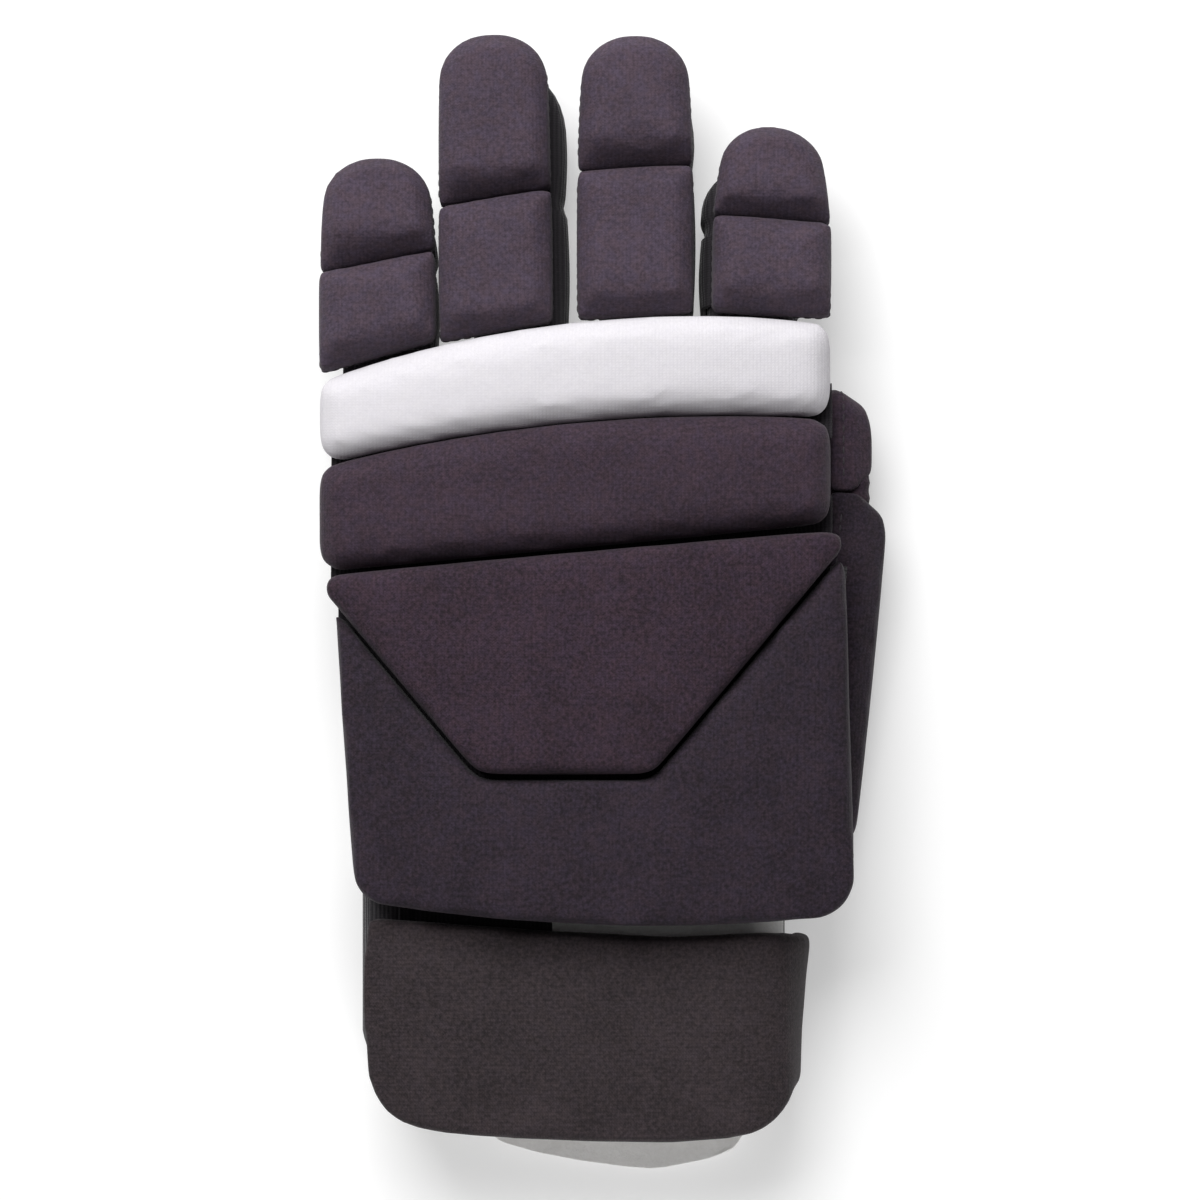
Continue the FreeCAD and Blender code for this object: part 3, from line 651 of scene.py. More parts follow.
def swell(pads):
    """Let the covers swell under a little pressure, all at once, and hold them near their start."""
    flat = [places(pad) for pad in pads]
    for pad in pads:
        cloth = pad.modifiers.new("swell", "CLOTH")
        cloth.collision_settings.use_collision = False
        cloth.settings.effector_weights.gravity = 0.0
        for name, value in (("vertex_group_mass", "sewn down"), ("mass", 0.002),
                            ("use_pressure", True), ("uniform_pressure_force", 6.0),
                            ("bending_stiffness", 0.05), ("tension_stiffness", 4.0),
                            ("compression_stiffness", 4.0)):
            setattr(cloth.settings, name, value)
    for step in range(SWELL_STEPS):
        bpy.context.scene.frame_set(step + 1)
    for pad, start in zip(pads, flat):
        pick(pad)
        bpy.ops.object.modifier_apply(modifier="swell")
        move = places(pad) - start
        far = np.linalg.norm(move, axis=1)
        put(pad, start + move * min(1, SWELL / far.max()))
    bpy.context.scene.frame_set(1)


def finish_pad(pad, node, body, finish, slot, turn=Matrix.Identity(4)):
    """Round a pad off, dress it and set it on its body in place of its CAD cover and foam."""
    pad.vertex_groups.clear()
    finish_with(pad, "SUBSURF", levels=1, render_levels=1)
    pick(pad)
    bpy.ops.object.shade_smooth()
    lay_cloth(pad, turn)
    settle(pad, finish, body, slot, (node + "_cover", node + "_foam"))


def way_round(loop):
    return sum((here - there).length for here, there in zip(loop, loop[1:] + loop[:1]))


def open_rim(node, up):
    """The outer edge of a cover's open underside, in order round it."""
    form = bmesh.new()
    form.from_mesh(frame["nodes"][node].data)
    bmesh.ops.remove_doubles(form, verts=form.verts, dist=SAME_PLACE)
    beside = {}
    for edge in form.edges:
        for floor, wall in (edge.link_faces, reversed(edge.link_faces)):
            if floor.normal.dot(up) < -0.9 and abs(wall.normal.dot(up)) < 0.4:
                for vertex in edge.verts:
                    beside.setdefault(vertex, []).append(edge.other_vert(vertex))
    loops, seen = [], set()
    for start in beside:
        if start in seen:
            continue
        loop, here = [], start
        while here is not None:
            seen.add(here)
            loop.append(here.co.copy())
            here = next((other for other in beside[here] if other not in seen), None)
        loops.append(loop)
    form.free()
    return max(loops, key=way_round)


def left_open(spots, way, clear):
    """A closed row of places without those this close to its furthest side one way."""
    row = []
    for here, there in zip(spots, spots[1:] + spots[:1]):
        steps = max(1, round((there - here).length / (2 * MM)))
        row += [here.lerp(there, step / steps) for step in range(steps)]
    limit = max(spot.dot(way) for spot in row) - clear
    kept = [spot.dot(way) < limit for spot in row]
    first = next(index for index in range(len(row)) if kept[index] and not kept[index - 1])
    return [spot for spot in row[first:] + row[:first] if spot.dot(way) < limit]


def line_on(name, spots, pad, closed):
    """A line through these places, laid on a pad, as a curve."""
    mesh = bpy.data.meshes.new(name)
    count = len(spots)
    links = [(place, (place + 1) % count) for place in range(count if closed else count - 1)]
    mesh.from_pydata([tuple(spot) for spot in spots], links, [])
    line = bpy.data.objects.new(name, mesh)
    bpy.context.scene.collection.objects.link(line)
    with editing(line, "EDGE", whole=True):
        bpy.ops.mesh.subdivide(number_cuts=3)
    finish_with(line, "SHRINKWRAP", target=pad, wrap_method="NEAREST_SURFACEPOINT",
                wrap_mode="ABOVE_SURFACE", offset=0.05 * MM)
    pick(line)
    bpy.ops.object.convert(target="CURVE")
    return bpy.context.object


# A stitch: how far it is to the next, how long and how thick it is, and how high up the cover.
STITCH_PITCH, STITCH_LENGTH, STITCH_THICK, STITCH_RISE = 2.6 * MM, 1.9 * MM, 0.4 * MM, 2.0 * MM


def sewn_round(pad, node, body, up, unsewn=None):
    """Stitches round the foot of a pad, where its cover is sewn to the glove, but for one side.

    One stitch is repeated along the seam and bent to it.
    """
    spots = [place + up * STITCH_RISE for place in open_rim(node + "_cover", up)]
    if unsewn is not None:
        spots = left_open(spots, unsewn, 2.5 * MM)
    line = line_on(node + "_seam", spots, pad, unsewn is None)
    bpy.ops.object.select_all(action="DESELECT")
    bpy.ops.mesh.primitive_uv_sphere_add(segments=8, ring_count=5, radius=0.5, location=(0, 0, 0))
    row = named(node + "_stitches")
    with editing(row, whole=True):
        bpy.ops.transform.rotate(value=QUARTER, orient_axis="Y", center_override=(0, 0, 0))
        bpy.ops.transform.resize(value=(STITCH_LENGTH, STITCH_THICK, STITCH_THICK),
                                 center_override=(0, 0, 0))
        bpy.ops.transform.translate(value=(STITCH_PITCH / 2, 0, 0))
    finish_with(row, "ARRAY", fit_type="FIT_CURVE", curve=line, use_relative_offset=False,
                use_constant_offset=True, constant_offset_displace=(STITCH_PITCH, 0, 0))
    finish_with(row, "CURVE", object=line, deform_axis="POS_X")
    bpy.data.objects.remove(line)
    pick(row)
    bpy.ops.object.shade_smooth()
    dress(row, "dark thread")
    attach(row, body)


# Each pad of the back: its body, finish and slot, how often its edges are softened, and its
# shaping. The two bars stand close to each other, without touching.
BACK_PADS = {
    # The panel, the crest and the dark bar are in darker copies of the finger jersey: painted shade
    # for light that falls off away from the fingertips.
    "panel": ("hand", "back jersey", "dark_jersey", 4, panel_shape),
    "crest": ("hand", "crest jersey", "dark_jersey", 5,
              partial(push, way=(0, -1, 0), reach=-0.6 * MM)),
    "dark_bar": ("dark_bar", "bar jersey", "dark_jersey", 1,
                 partial(push, way=(0, 1, 0), reach=0.1 * MM)),
    "white_bar": ("white_bar", "white jersey", "white_jersey", 1,
                  partial(push, way=(0, -1, 0), reach=0.3 * MM)),
}
back_pads = {}
for node, (*_, softening, shape) in BACK_PADS.items():
    back_pads[node] = pad_form(node, WIDE_MESH, softening, shape)
    sew_down(back_pads[node], lambda place: -Z_WAY)

digit_pads = {}
for digit in DIGITS:
    for part in ("base", "tip"):
        node = "%s_%s" % (digit, part)
        turn = digit_turn(digit, THUMB_LEAN if node == "thumb_base" else 0.0)
        shape = partial(thumb_shape if digit == "thumb" else finger_shape, node=node, turn=turn)
        pad = pad_form(node, FINE_MESH, 1, shape)
        sew_down(pad, lambda place: turn.to_3x3() @ -Z_WAY)
        digit_pads[node] = (pad, turn)


# ---------------------------------------------------------------- the cuff's strap

# The strap's edges in plan: how far across it, and how far behind its CAD edge, in mm.
STRAP_FRONT = ((0.0, 0.15, 0.41, 0.67, 0.87, 0.94, 1.0), (-3.6, -2.4, -0.4, 1.0, 0.0, 0.5, 2.2))
STRAP_REAR = ((0.0, 0.01, 0.02, 0.035, 0.055, 0.08, 0.11, 0.16, 0.25, 0.33, 0.5, 0.67, 0.8, 0.85,
               0.88, 0.905, 0.925, 0.94, 0.95),
              (-18.0, -14.5, -11.8, -9.0, -6.6, -4.8, -3.5, -2.3, -1.3, -0.8, 0.0, 0.3, -0.8, -1.8,
               -3.2, -5.2, -7.6, -10.2, -12.8))
# How much of the thickness of its right side is left, going back from its front edge.
STRAP_SIDE = ((0.0, 0.11, 0.27, 0.62, 0.82), (0.8, 0.74, 0.64, 0.5, 0.48))
# Cloth whose length runs across the hand is mapped in this frame.
SIDEWAYS = Matrix.Rotation(-QUARTER, 4, "Z")


def strap_shape(form):
    """Cut the strap's corners round, bow its left side and thin its right side to the rear."""
    low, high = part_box("strap_cover")
    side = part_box("wrist_band")[1].x + 0.3 * MM
    with moving(form) as spots:
        back = (high.y - spots[:, 1]) / (high.y - low.y)
        thinned = side + (spots[:, 0] - side) * np.interp(back, *STRAP_SIDE)
        spots[:, 0] = np.where(spots[:, 0] > side, thinned, spots[:, 0])
        bulge = fading(spots[:, 0] - low.x, 8 * MM)
        spots[:, 0] -= bulge * np.sin(math.pi * np.clip(back, 0, 1)) * 1.2 * MM
        across = (spots[:, 0] - low.x) / (high.x - low.x)
        front = high.y - np.interp(across, *STRAP_FRONT) * MM
        rear = low.y - np.interp(across, *STRAP_REAR) * MM
        spots[:, 1] = front + (rear - front) * back


def to_wrist(place):
    """The way from a place on the strap to the middle of the wrist."""
    low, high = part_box("wrist_band")
    middle = (low + high) / 2
    reach = (high.x - low.x) / 2 - 12 * MM
    core = Vector((min(max(place.x, middle.x - reach), middle.x + reach), place.y, middle.z))
    return (core - place).normalized()


strap = pad_form("strap", STRAP_MESH, 3, strap_shape)
sew_down(strap, to_wrist)

swell(list(back_pads.values()) + [pad for pad, turn in digit_pads.values()] + [strap])

for node, (body, finish, slot, *_) in BACK_PADS.items():
    finish_pad(back_pads[node], node, body, finish, slot)
sewn_round(back_pads["panel"], "panel", "hand", Z_WAY)
for node, (pad, turn) in digit_pads.items():
    # The thumb's pads are in darker copies of the finger jersey: painted shade for the thumb, which
    # lies on its side away from the light.
    finish = {"thumb_base": "back jersey", "thumb_tip": "bar jersey"}.get(node, "finger jersey")
    finish_pad(pad, node, node, finish, "dark_jersey", turn)
    # The cover runs on from one pad of a digit to the next, so the side at the joint isn't sewn.
    to_joint = Y_WAY if node.endswith("base") else -Y_WAY
    sewn_round(pad, node, node, turn.to_3x3() @ Z_WAY, turn.to_3x3() @ to_joint)
# The strap is in a darker copy of the jersey: painted shade for light that falls off towards the
# wrist.
finish_pad(strap, "strap", "strap", "cuff jersey", "dark_jersey", SIDEWAYS)


# ---------------------------------------------------------------- knitted sleeves

def rounded_ring(name, left, right, bottom, top, corner, cuts=4):
    """A rounded rectangle of edges that stands across the y axis."""
    ring = square(name)
    with editing(ring, whole=True):
        bpy.ops.transform.resize(value=(right - left, top - bottom, 1), center_override=(0, 0, 0))
        bpy.ops.mesh.bevel(offset=corner, segments=5, affect="VERTICES")
        bpy.ops.transform.rotate(value=QUARTER, orient_axis="X", center_override=(0, 0, 0))
        bpy.ops.transform.translate(value=((left + right) / 2, 0, (bottom + top) / 2))
        bpy.ops.mesh.delete(type="ONLY_FACE")
    divide_long(ring, 3.5 * MM, cuts)
    return ring


def extrude_on(reach, wide=1, high=1, centre=(0, 0, 0)):
    """Extrude the picked edges along y, and widen and heighten the new ones about a centre."""
    bpy.ops.mesh.extrude_edges_move(TRANSFORM_OT_translate={"value": (0, reach, 0)})
    bpy.ops.transform.resize(value=(wide, 1, high), center_override=centre)


def close_end():
    """Close the picked ring of edges."""
    bpy.ops.mesh.edge_face_add()
    bpy.ops.mesh.poke()


def even_stations(rear, front, count):
    """Stations along a tube that is as wide and as high all the way."""
    return [(rear + (front - rear) * step / count, 1.0, 1.0) for step in range(count + 1)]


def draw_out(ring, stations, closed=False, from_top=False):
    """Extrude a ring along y through stations of place, width and height, and close its far end
    if asked.

    Widths and heights are shares of the ring's own, taken about its middle or down from its top.
    """
    spots = places(ring)
    x, _, z = (spots.min(axis=0) + spots.max(axis=0)) / 2
    if from_top:
        z = spots.max(axis=0)[2]
    place, wide, high = stations[0]
    with editing(ring, whole=True):
        bpy.ops.transform.translate(value=(0, place, 0))
        bpy.ops.transform.resize(value=(wide, 1, high), center_override=(x, place, z))
        for next_place, next_wide, next_high in stations[1:]:
            extrude_on(next_place - place, next_wide / wide, next_high / high, (x, next_place, z))
            place, wide, high = next_place, next_wide, next_high
        if closed:
            close_end()
        face_outwards()


def round_length(wide, high, corner):
    """How long the way round a rounded rectangle is."""
    return 2 * (wide + high) - (8 - 2 * math.pi) * corner


def round_over(piece, width):
    """Round a piece's sharp edges over."""
    finish_with(piece, "BEVEL", width=width, segments=2, limit_method="ANGLE",
                angle_limit=math.radians(50))


def smooth(piece, degrees=60):
    """Shade a piece smooth where it turns by less than this."""
    pick(piece)
    bpy.ops.object.shade_smooth_by_angle(angle=math.radians(degrees))


def thicken(piece, thick, edge=0.0, inwards=False):
    """Give a cloth its thickness, and round its edges over where asked."""
    finish_with(piece, "SOLIDIFY", thickness=thick, offset=-1 if inwards else 0)
    if edge:
        round_over(piece, edge)
    smooth(piece)


STALL_WALL = 1.2 * MM
STALL_CORNER = 6.0 * MM
# How far each side of a joint the places handed on with its sleeve lie, and how far each side its
# crease runs.
BEND_REACH, CREASE = 8.0 * MM, 1.8 * MM
# How far a sleeve stands to one side of its CAD stall.
SLEEVE_ASIDE = {"index": -0.55 * MM}
# Behind this place the thumb's sleeve is open to the palm, and only this much of its depth is left.
THUMB_MOUTH, THUMB_CHANNEL = -42.0 * MM, 5.0 * MM


def creased(rear, front, tip_round):
    """Stations of a digit's sleeve: full along the bones, narrow at the joint, round at the tip."""
    straight = front - tip_round
    shares = [step / 9 for step in range(1, 9)]
    stations = [(rear, 1.0, 1.0)]
    stations += [(rear * (1 - share), 1.0 + 0.045 * math.sin(math.pi * share), 1.0)
                 for share in shares]
    stations += [(-CREASE, 0.965, 0.975), (0.0, 0.93, 0.95), (CREASE, 0.965, 0.975)]
    stations += [(straight * share + CREASE * (1 - share),
                  0.975 + 0.05 * math.sin(math.pi * share * 0.6), 1.0) for share in shares]
    for degrees in (8, 20, 32, 44, 55, 65, 74, 81):
        angle = math.radians(degrees)
        full = math.cos(angle) ** 0.75
        stations.append((straight + tip_round * math.sin(angle), 1.02 * full, full))
    return stations


def open_to_palm(sleeve, floor_place):
    """Cut away the palm side of the thumb's sleeve behind its mouth."""
    cut_through(sleeve, (0, 0, floor_place), Z_WAY)
    cut_through(sleeve, (0, THUMB_MOUTH, 0), Y_WAY)
    cut_out(sleeve, "polygons",
            lambda face: face.center.y < THUMB_MOUTH and face.center.z < floor_place)


def lean_base(sleeve):
    """Swing what is behind the thumb's joint out by the lean of its base."""
    with moving(sleeve) as spots:
        angle = THUMB_LEAN * np.clip(-spots[:, 1] / (6 * MM), 0, 1)
        along, out = spots[:, 1].copy(), spots[:, 2].copy()
        spots[:, 1] = along * np.cos(angle) - out * np.sin(angle)
        spots[:, 2] = out * np.cos(angle) + along * np.sin(angle)


def digit_sleeve(digit):
    """One knitted tube for a digit, closed at the tip and creased at the middle joint."""
    is_thumb = digit == "thumb"
    turn = digit_turn(digit)
    base_low, _ = reach_in(digit + "_base_stall", digit_turn(digit, THUMB_LEAN))
    low, high = reach_in(digit + "_tip_stall", turn)
    aside = SLEEVE_ASIDE.get(digit, 0.0)
    sleeve = rounded_ring(digit + "_sleeve", low[0] + aside, high[0] + aside, low[2], high[2],
                          STALL_CORNER)
    if is_thumb:
        rear, front, tip_round = base_low[1], high[1] + 3.5 * MM, 11 * MM
    else:
        # The round tip starts clear of the crease, also on the short fingers.
        rear, front = base_low[1] - 3.5 * MM, high[1] + 3 * MM
        tip_round = min(15 * MM, front - 4.5 * MM)
    draw_out(sleeve, creased(rear, front, tip_round), closed=True, from_top=True)
    if is_thumb:
        open_to_palm(sleeve, high[2] - THUMB_CHANNEL)
    lay_cloth(sleeve)
    if is_thumb:
        lean_base(sleeve)
    sleeve.data.transform(turn)
    thicken(sleeve, STALL_WALL, 0.4 * MM, inwards=True)
    girth, length = round_length(high[0] - low[0], high[2] - low[2], STALL_CORNER), front - rear
    # The tip is cut round; the thumb's sleeve also lacks the palm side behind its mouth.
    cut_away = 0.43 * girth * tip_round
    if is_thumb:
        cut_away += (THUMB_MOUTH - rear) * (girth - (high[0] - low[0]) - 2 * THUMB_CHANNEL)
    base, tip = digit + "_base", digit + "_tip"
    # The thumb's sleeve is jersey like its pads, in the darkest copy of it: that darkness is
    # painted shade.
    settle(sleeve, "back jersey" if is_thumb else "sleeve knit",
           (base, tip, turn @ (-BEND_REACH * Y_WAY), turn @ (BEND_REACH * Y_WAY)), "dark_sleeve",
           (base + "_stall", tip + "_stall"), flat=(girth, length),
           rests_on=[base + "_pad", tip + "_pad"], area=girth * length - cut_away)


for digit in DIGITS:
    digit_sleeve(digit)


# ---------------------------------------------------------------- linings

LINING_THICK = 0.9 * MM


def flat_grid(name, columns, rows):
    """A grid from 0 to 1 each way, with its own cloth map from 0 to 1."""
    bpy.ops.object.select_all(action="DESELECT")
    bpy.ops.mesh.primitive_grid_add(x_subdivisions=columns, y_subdivisions=rows, size=1,
                                    location=(0.5, 0.5, 0), calc_uvs=True)
    bpy.ops.object.transform_apply(location=True, rotation=True, scale=True)
    grid = named(name)
    grid.data.uv_layers[0].name = "cloth"
    return grid


def scale_cloth(piece, width, length):
    """Bring a cloth map that runs from 0 to 1 to its length and width."""
    layer = piece.data.uv_layers["cloth"]
    spots = np.empty(len(layer.data) * 2)
    layer.data.foreach_get("uv", spots)
    layer.data.foreach_set("uv", (spots.reshape(-1, 2) * (width, length)).ravel())


def cloth_through(place_at, name, columns, rows, size, thick, edge):
    """A cloth of this width and length, through the place that each share of them comes to."""
    cloth = flat_grid(name, columns, rows)
    with moving(cloth) as spots:
        for index, (across, along, _) in enumerate(spots):
            spots[index] = place_at(across, along)
    scale_cloth(cloth, *size)
    thicken(cloth, thick, edge)
    return cloth


def sheet_over(name, node, columns, rows):
    """A cloth cut to the outline of an arched CAD sheet, through the middle of its thickness.

    It comes with its width, its greatest length and its area.
    """
    low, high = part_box(node)
    grid = flat_grid(name, columns, rows)
    lengths = []
    with moving(grid) as spots:
        crosswise = np.linspace(low.x + 0.02 * MM, high.x - 0.02 * MM, columns + 1)
        for column, x in enumerate(crosswise):
            section = section_at(node, x)
            rear, front = section[:, 1].min(), section[:, 1].max()
            here = np.isclose(spots[:, 0], column / columns, atol=1e-4)
            spots[here, 1] = rear + spots[here, 1] * (front - rear)
            spots[here, 0] = x
            spots[here, 2] = (section[:, 2].min() + section[:, 2].max()) / 2
            lengths.append(front - rear)
    width = high.x - low.x
    scale_cloth(grid, width, max(lengths))
    return grid, width, max(lengths), float(np.mean(lengths)) * width


def lining(node, body, rests_on, columns, rows):
    """A brushed lining in place of its CAD sheet."""
    cloth, width, length, area = sheet_over(node + "_cloth", node, columns, rows)
    thicken(cloth, LINING_THICK, 0.25 * MM)
    settle(cloth, "brushed lining", body, "white_lining", [node], flat=(width, length),
           rests_on=rests_on, area=area)


def back_knit():
    """Dark knit on top of the hand's lining, which shows in the grooves between the pads."""
    cloth, width, length, area = sheet_over("back_knit", "hand_lining", 40, 20)
    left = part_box("hand_lining")[0].x + 8 * MM
    with moving(cloth) as spots:
        beside_crest = np.clip((spots[:, 1] + 12 * MM) / (8 * MM), 0, 1)
        spots[:, 0] -= np.clip(left - spots[:, 0], 0, None) * beside_crest * 0.65
        spots[:, 2] += LINING_THICK
    thicken(cloth, 0.5 * MM)
    settle(cloth, "sleeve knit", "hand", "dark_sleeve", flat=(width + 5 * MM, length),
           rests_on=["hand_lining_cloth"], area=area * (1 + 5 * MM / width))


def flex_cloth(name, lower, upper):
    """Dark knit that lines the groove between two of the back's pads."""
    pivot, axis = pivot_of(upper + "_flex"), Vector(joints[upper + "_flex"]["axis"])
    slope = axis.y / axis.x
    low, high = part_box(upper + "_cover")
    left, right, reach = low.x + 2.5 * MM, high.x + 0.5 * MM, 6.5 * MM

    def place_at(across, up):
        x = left + across * (right - left)
        first, last = (lining_floor(pad + "_lining", x) + 1.2 * MM for pad in (lower, upper))
        arch = max(abs(x) - 54 * MM, 0.0) * 0.2
        return x, pivot.y + slope * x + (2 * up - 1) * reach, first + (last - first) * up - arch

    size = right - left, 2 * reach
    cloth = cloth_through(place_at, name, 40, 10, size, 0.7 * MM, 0.2 * MM)
    settle(cloth, "sleeve knit", (lower, upper, pivot - 5 * MM * Y_WAY, pivot + 5 * MM * Y_WAY),
           "dark_sleeve", flat=size, rests_on=[upper + "_lining_cloth"])


def knuckle_hood(digit):
    """The sleeve's root, which runs back under the white bar and bends at the knuckle."""
    turn, knuckle = digit_turn(digit), pivot_of(digit + "_knuckle")
    low, high = reach_in(digit + "_base_stall", turn)
    inset = STALL_WALL - 0.2 * MM
    corner = STALL_CORNER - inset
    hood = rounded_ring(digit + "_hood", low[0] + inset, high[0] - inset, low[2] + inset,
                        high[2] - inset, corner)
    rear, front = (turn.inverted() @ knuckle).y - 7 * MM, low[1] + 2 * MM
    draw_out(hood, even_stations(rear, front, 9))
    lay_cloth(hood)
    hood.data.transform(turn)
    with moving(hood) as spots:
        room = np.array([lining_floor("white_bar_lining", x) for x in spots[:, 0]]) - 0.4 * MM
        share = fading(spots[:, 1] - knuckle.y, 5 * MM)
        lowered = np.minimum(spots[:, 2], room + (1 - share) * 4 * MM)
        spots[:, 2] = np.where(share > 0, lowered, spots[:, 2])
    thicken(hood, 0.9 * MM, 0.3 * MM, inwards=True)
    along = turn.to_3x3() @ Y_WAY
    girth = round_length(high[0] - low[0] - 2 * inset, high[2] - low[2] - 2 * inset, corner)
    settle(hood, "sleeve knit",
           ("white_bar", digit + "_base", knuckle - along * 5 * MM, knuckle + along * 4 * MM),
           "dark_sleeve", flat=(girth, front - rear), rests_on=["white_bar_lining_cloth"])


back_knit()
lining("hand_lining", "hand", ["panel_pad", "crest_pad"], 40, 30)
for bar in ("dark_bar", "white_bar"):
    lining(bar + "_lining", bar, [bar + "_pad"], 36, 12)
flex_cloth("back_flex_cloth", "hand", "dark_bar")
flex_cloth("bar_flex_cloth", "dark_bar", "white_bar")
for digit in FINGERS:
    knuckle_hood(digit)


# ---------------------------------------------------------------- palm strap, thumb web and gussets

def strap_round_palm():
    """Woven elastic that runs round the palm, from one side of the back lining to the other."""
    low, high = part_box("palm_strap")
    corner, half = 6.1 * MM, 0.9 * MM
    left, right = low.x + half, high.x - half
    left_top, right_top = (lining_floor("hand_lining", x) - 0.2 * MM for x in (left, right))
    band = square("palm_strap_band")
    put(band, [(left, low.y, half), (right, low.y, half),
               (left, low.y, left_top), (right, low.y, right_top)])
    choose(band, "vertices", lambda vertex: vertex.co.z < 2 * MM)
    with editing(band):
        bpy.ops.mesh.bevel(offset=corner, segments=8, affect="VERTICES")
        bpy.ops.mesh.select_all(action="SELECT")
        bpy.ops.mesh.delete(type="ONLY_FACE")
    spots = band.data.vertices
    top = min(left_top, right_top) - 0.1 * MM
    cut_out(band, "edges", lambda edge: all(spots[end].co.z > top for end in edge.vertices))
    divide_long(band, 5 * MM, 12)
    count = 10
    with editing(band, "EDGE", whole=True):
        for _ in range(count):
            extrude_on((high.y - low.y) / count)
        face_outwards()
    lay_cloth(band, SIDEWAYS)
    thicken(band, 2 * half, 0.6 * MM)
    length = (high.x - low.x) + left_top + right_top - 2 * corner
    settle(band, "elastic", "hand", "elastic_web", ["palm_strap"], flat=(high.y - low.y, length),
           rests_on=["hand_lining_cloth"])


def thumb_tab():
    """A short elastic tab between the thumb's sleeve and the back lining."""
    low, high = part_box("thumb_web")
    width, length = high.y - low.y, high.z - low.z

    def place_at(across, rise):
        return (low.x + 0.9 * MM + across * width * math.tan(THUMB_LEAN), low.y + across * width,
                low.z + rise * length)

    tab = cloth_through(place_at, "thumb_tab", 6, 14, (width, length), 1.5 * MM, 0.4 * MM)
    settle(tab, "elastic", "hand", "dark_sleeve", ["thumb_web"])


def thumb_gusset():
    """Stretch cloth in the slit between the back lining and the top of the thumb's base pad."""
    turn = digit_turn("thumb", THUMB_LEAN)
    low, _ = reach_in("thumb_base_cover", turn)
    lining_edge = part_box("hand_lining")[1].x - 0.8 * MM
    rear, length = low[1] + 2 * MM, 65 * MM

    def place_at(along, down):
        seam = turn @ Vector((low[0] + 0.8 * MM, rear + along * length, low[2] + 4.5 * MM))
        x = min(seam.x, lining_edge)
        top = Vector((x, seam.y, lining_floor("hand_lining", round(x, 4)) + 0.4 * MM))
        return top.lerp(seam, down) + 0.9 * MM * math.sin(math.pi * down) * X_WAY

    cloth = cloth_through(place_at, "thumb_gusset", 30, 8, (length, 10 * MM), 0.8 * MM, 0.2 * MM)
    settle(cloth, "sleeve knit", ("hand", "thumb_base", (0, 0, 27 * MM), (0, 0, 22 * MM)),
           "dark_sleeve")


def thumb_bridge():
    """Soft cloth that fills the gap between the thumb's two pads."""
    turn = digit_turn("thumb")
    low, high = reach_in("thumb_tip_cover", turn)
    ring = rounded_ring("thumb_bridge", low[0] + 2 * MM, high[0] - 2 * MM, low[2] - 2.5 * MM,
                        high[2] - 0.5 * MM, 3.5 * MM)
    count, stations = 12, []
    for step, (place, *_) in enumerate(even_stations(low[1] - 6 * MM, low[1] + 5 * MM, count)):
        full = 1 - 0.05 * abs(math.sin(3 * math.pi * step / count))
        stations.append((place, full, full))
    draw_out(ring, stations, closed=True)
    with editing(ring, "EDGE"):
        bpy.ops.mesh.select_all(action="DESELECT")
        bpy.ops.mesh.select_non_manifold()
        close_end()
        face_outwards()
    lay_cloth(ring)
    ring.data.transform(turn)
    smooth(ring, 50)
    # The bridge is in a darker copy of the jersey: painted shade.
    settle(ring, "crest jersey",
           ("thumb_base", "thumb_tip", turn @ (-5 * MM * Y_WAY), turn @ (5 * MM * Y_WAY)),
           "dark_jersey")


def wrist_gusset(name, left, right, finish, slot, stands_for=()):
    """Cloth that joins the heel of the hand to the top of the cuff, from left to right."""
    band_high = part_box("wrist_band")[1]
    corner = 11 * MM
    front, rear = band_high.y + 1.2 * MM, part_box("strap_cover")[1].y - 3 * MM

    def place_at(across, down):
        x = left + across * (right - left)
        over = min(max(x - (band_high.x - corner), 0), corner - 0.5 * MM)
        rest = band_high.z - corner + math.sqrt(corner ** 2 - over ** 2) - 0.6 * MM
        rest += 1.0 * MM * min(over / (3 * MM), 1)
        top = lining_floor("hand_lining", x) + 0.2 * MM
        drop = min(down / 0.32, 1)
        drop = drop * drop * (3 - 2 * drop)
        fold = 0.35 * MM * math.sin(across * 37 + 3 * down) * math.sin(math.pi * down)
        return x, front + (rear - front) * down, top + (rest - top) * drop + fold

    size = right - left, front - rear + 3 * MM
    cloth = cloth_through(place_at, name, 34, 16, size, LINING_THICK, 0.25 * MM)
    settle(cloth, finish, ("hand", "cuff", (0, front, 26 * MM), (0, front - 6 * MM, 26 * MM)), slot,
           stands_for, flat=size, rests_on=["hand_lining_cloth", "cuff_band"])


strap_round_palm()
thumb_tab()
thumb_gusset()
thumb_bridge()
gusset_left, gusset_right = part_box("wrist_gusset")[0].x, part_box("wrist_band")[1].x - 0.7 * MM
gusset_seam = gusset_left + 34 * MM
wrist_gusset("wrist_gusset_cloth", gusset_seam, gusset_right, "brushed lining", "white_lining",
             ["wrist_gusset"])
wrist_gusset("wrist_gusset_knit", gusset_left - 2 * MM, gusset_seam + 0.5 * MM, "band knit",
             "dark_sleeve")


# ---------------------------------------------------------------- cuff

# How far the rear edges of the band and of its lining curve forward at their sides, in mm.
BAND_REAR = ((0.0, 0.04, 0.12, 0.27, 0.7, 0.92, 0.985, 1.0),
             (22.0, 11.0, 5.0, 1.5, 1.0, 4.0, 9.0, 17.0))
LINING_REAR = ((0.0, 0.03, 0.1, 0.22, 0.7, 0.93, 1.0), (20.0, 13.0, 7.5, 3.0, 1.5, 5.0, 16.0))
# About how much cloth the curve takes off at both sides.
CURVED_OFF = 2 * 12 * MM * 20 * MM
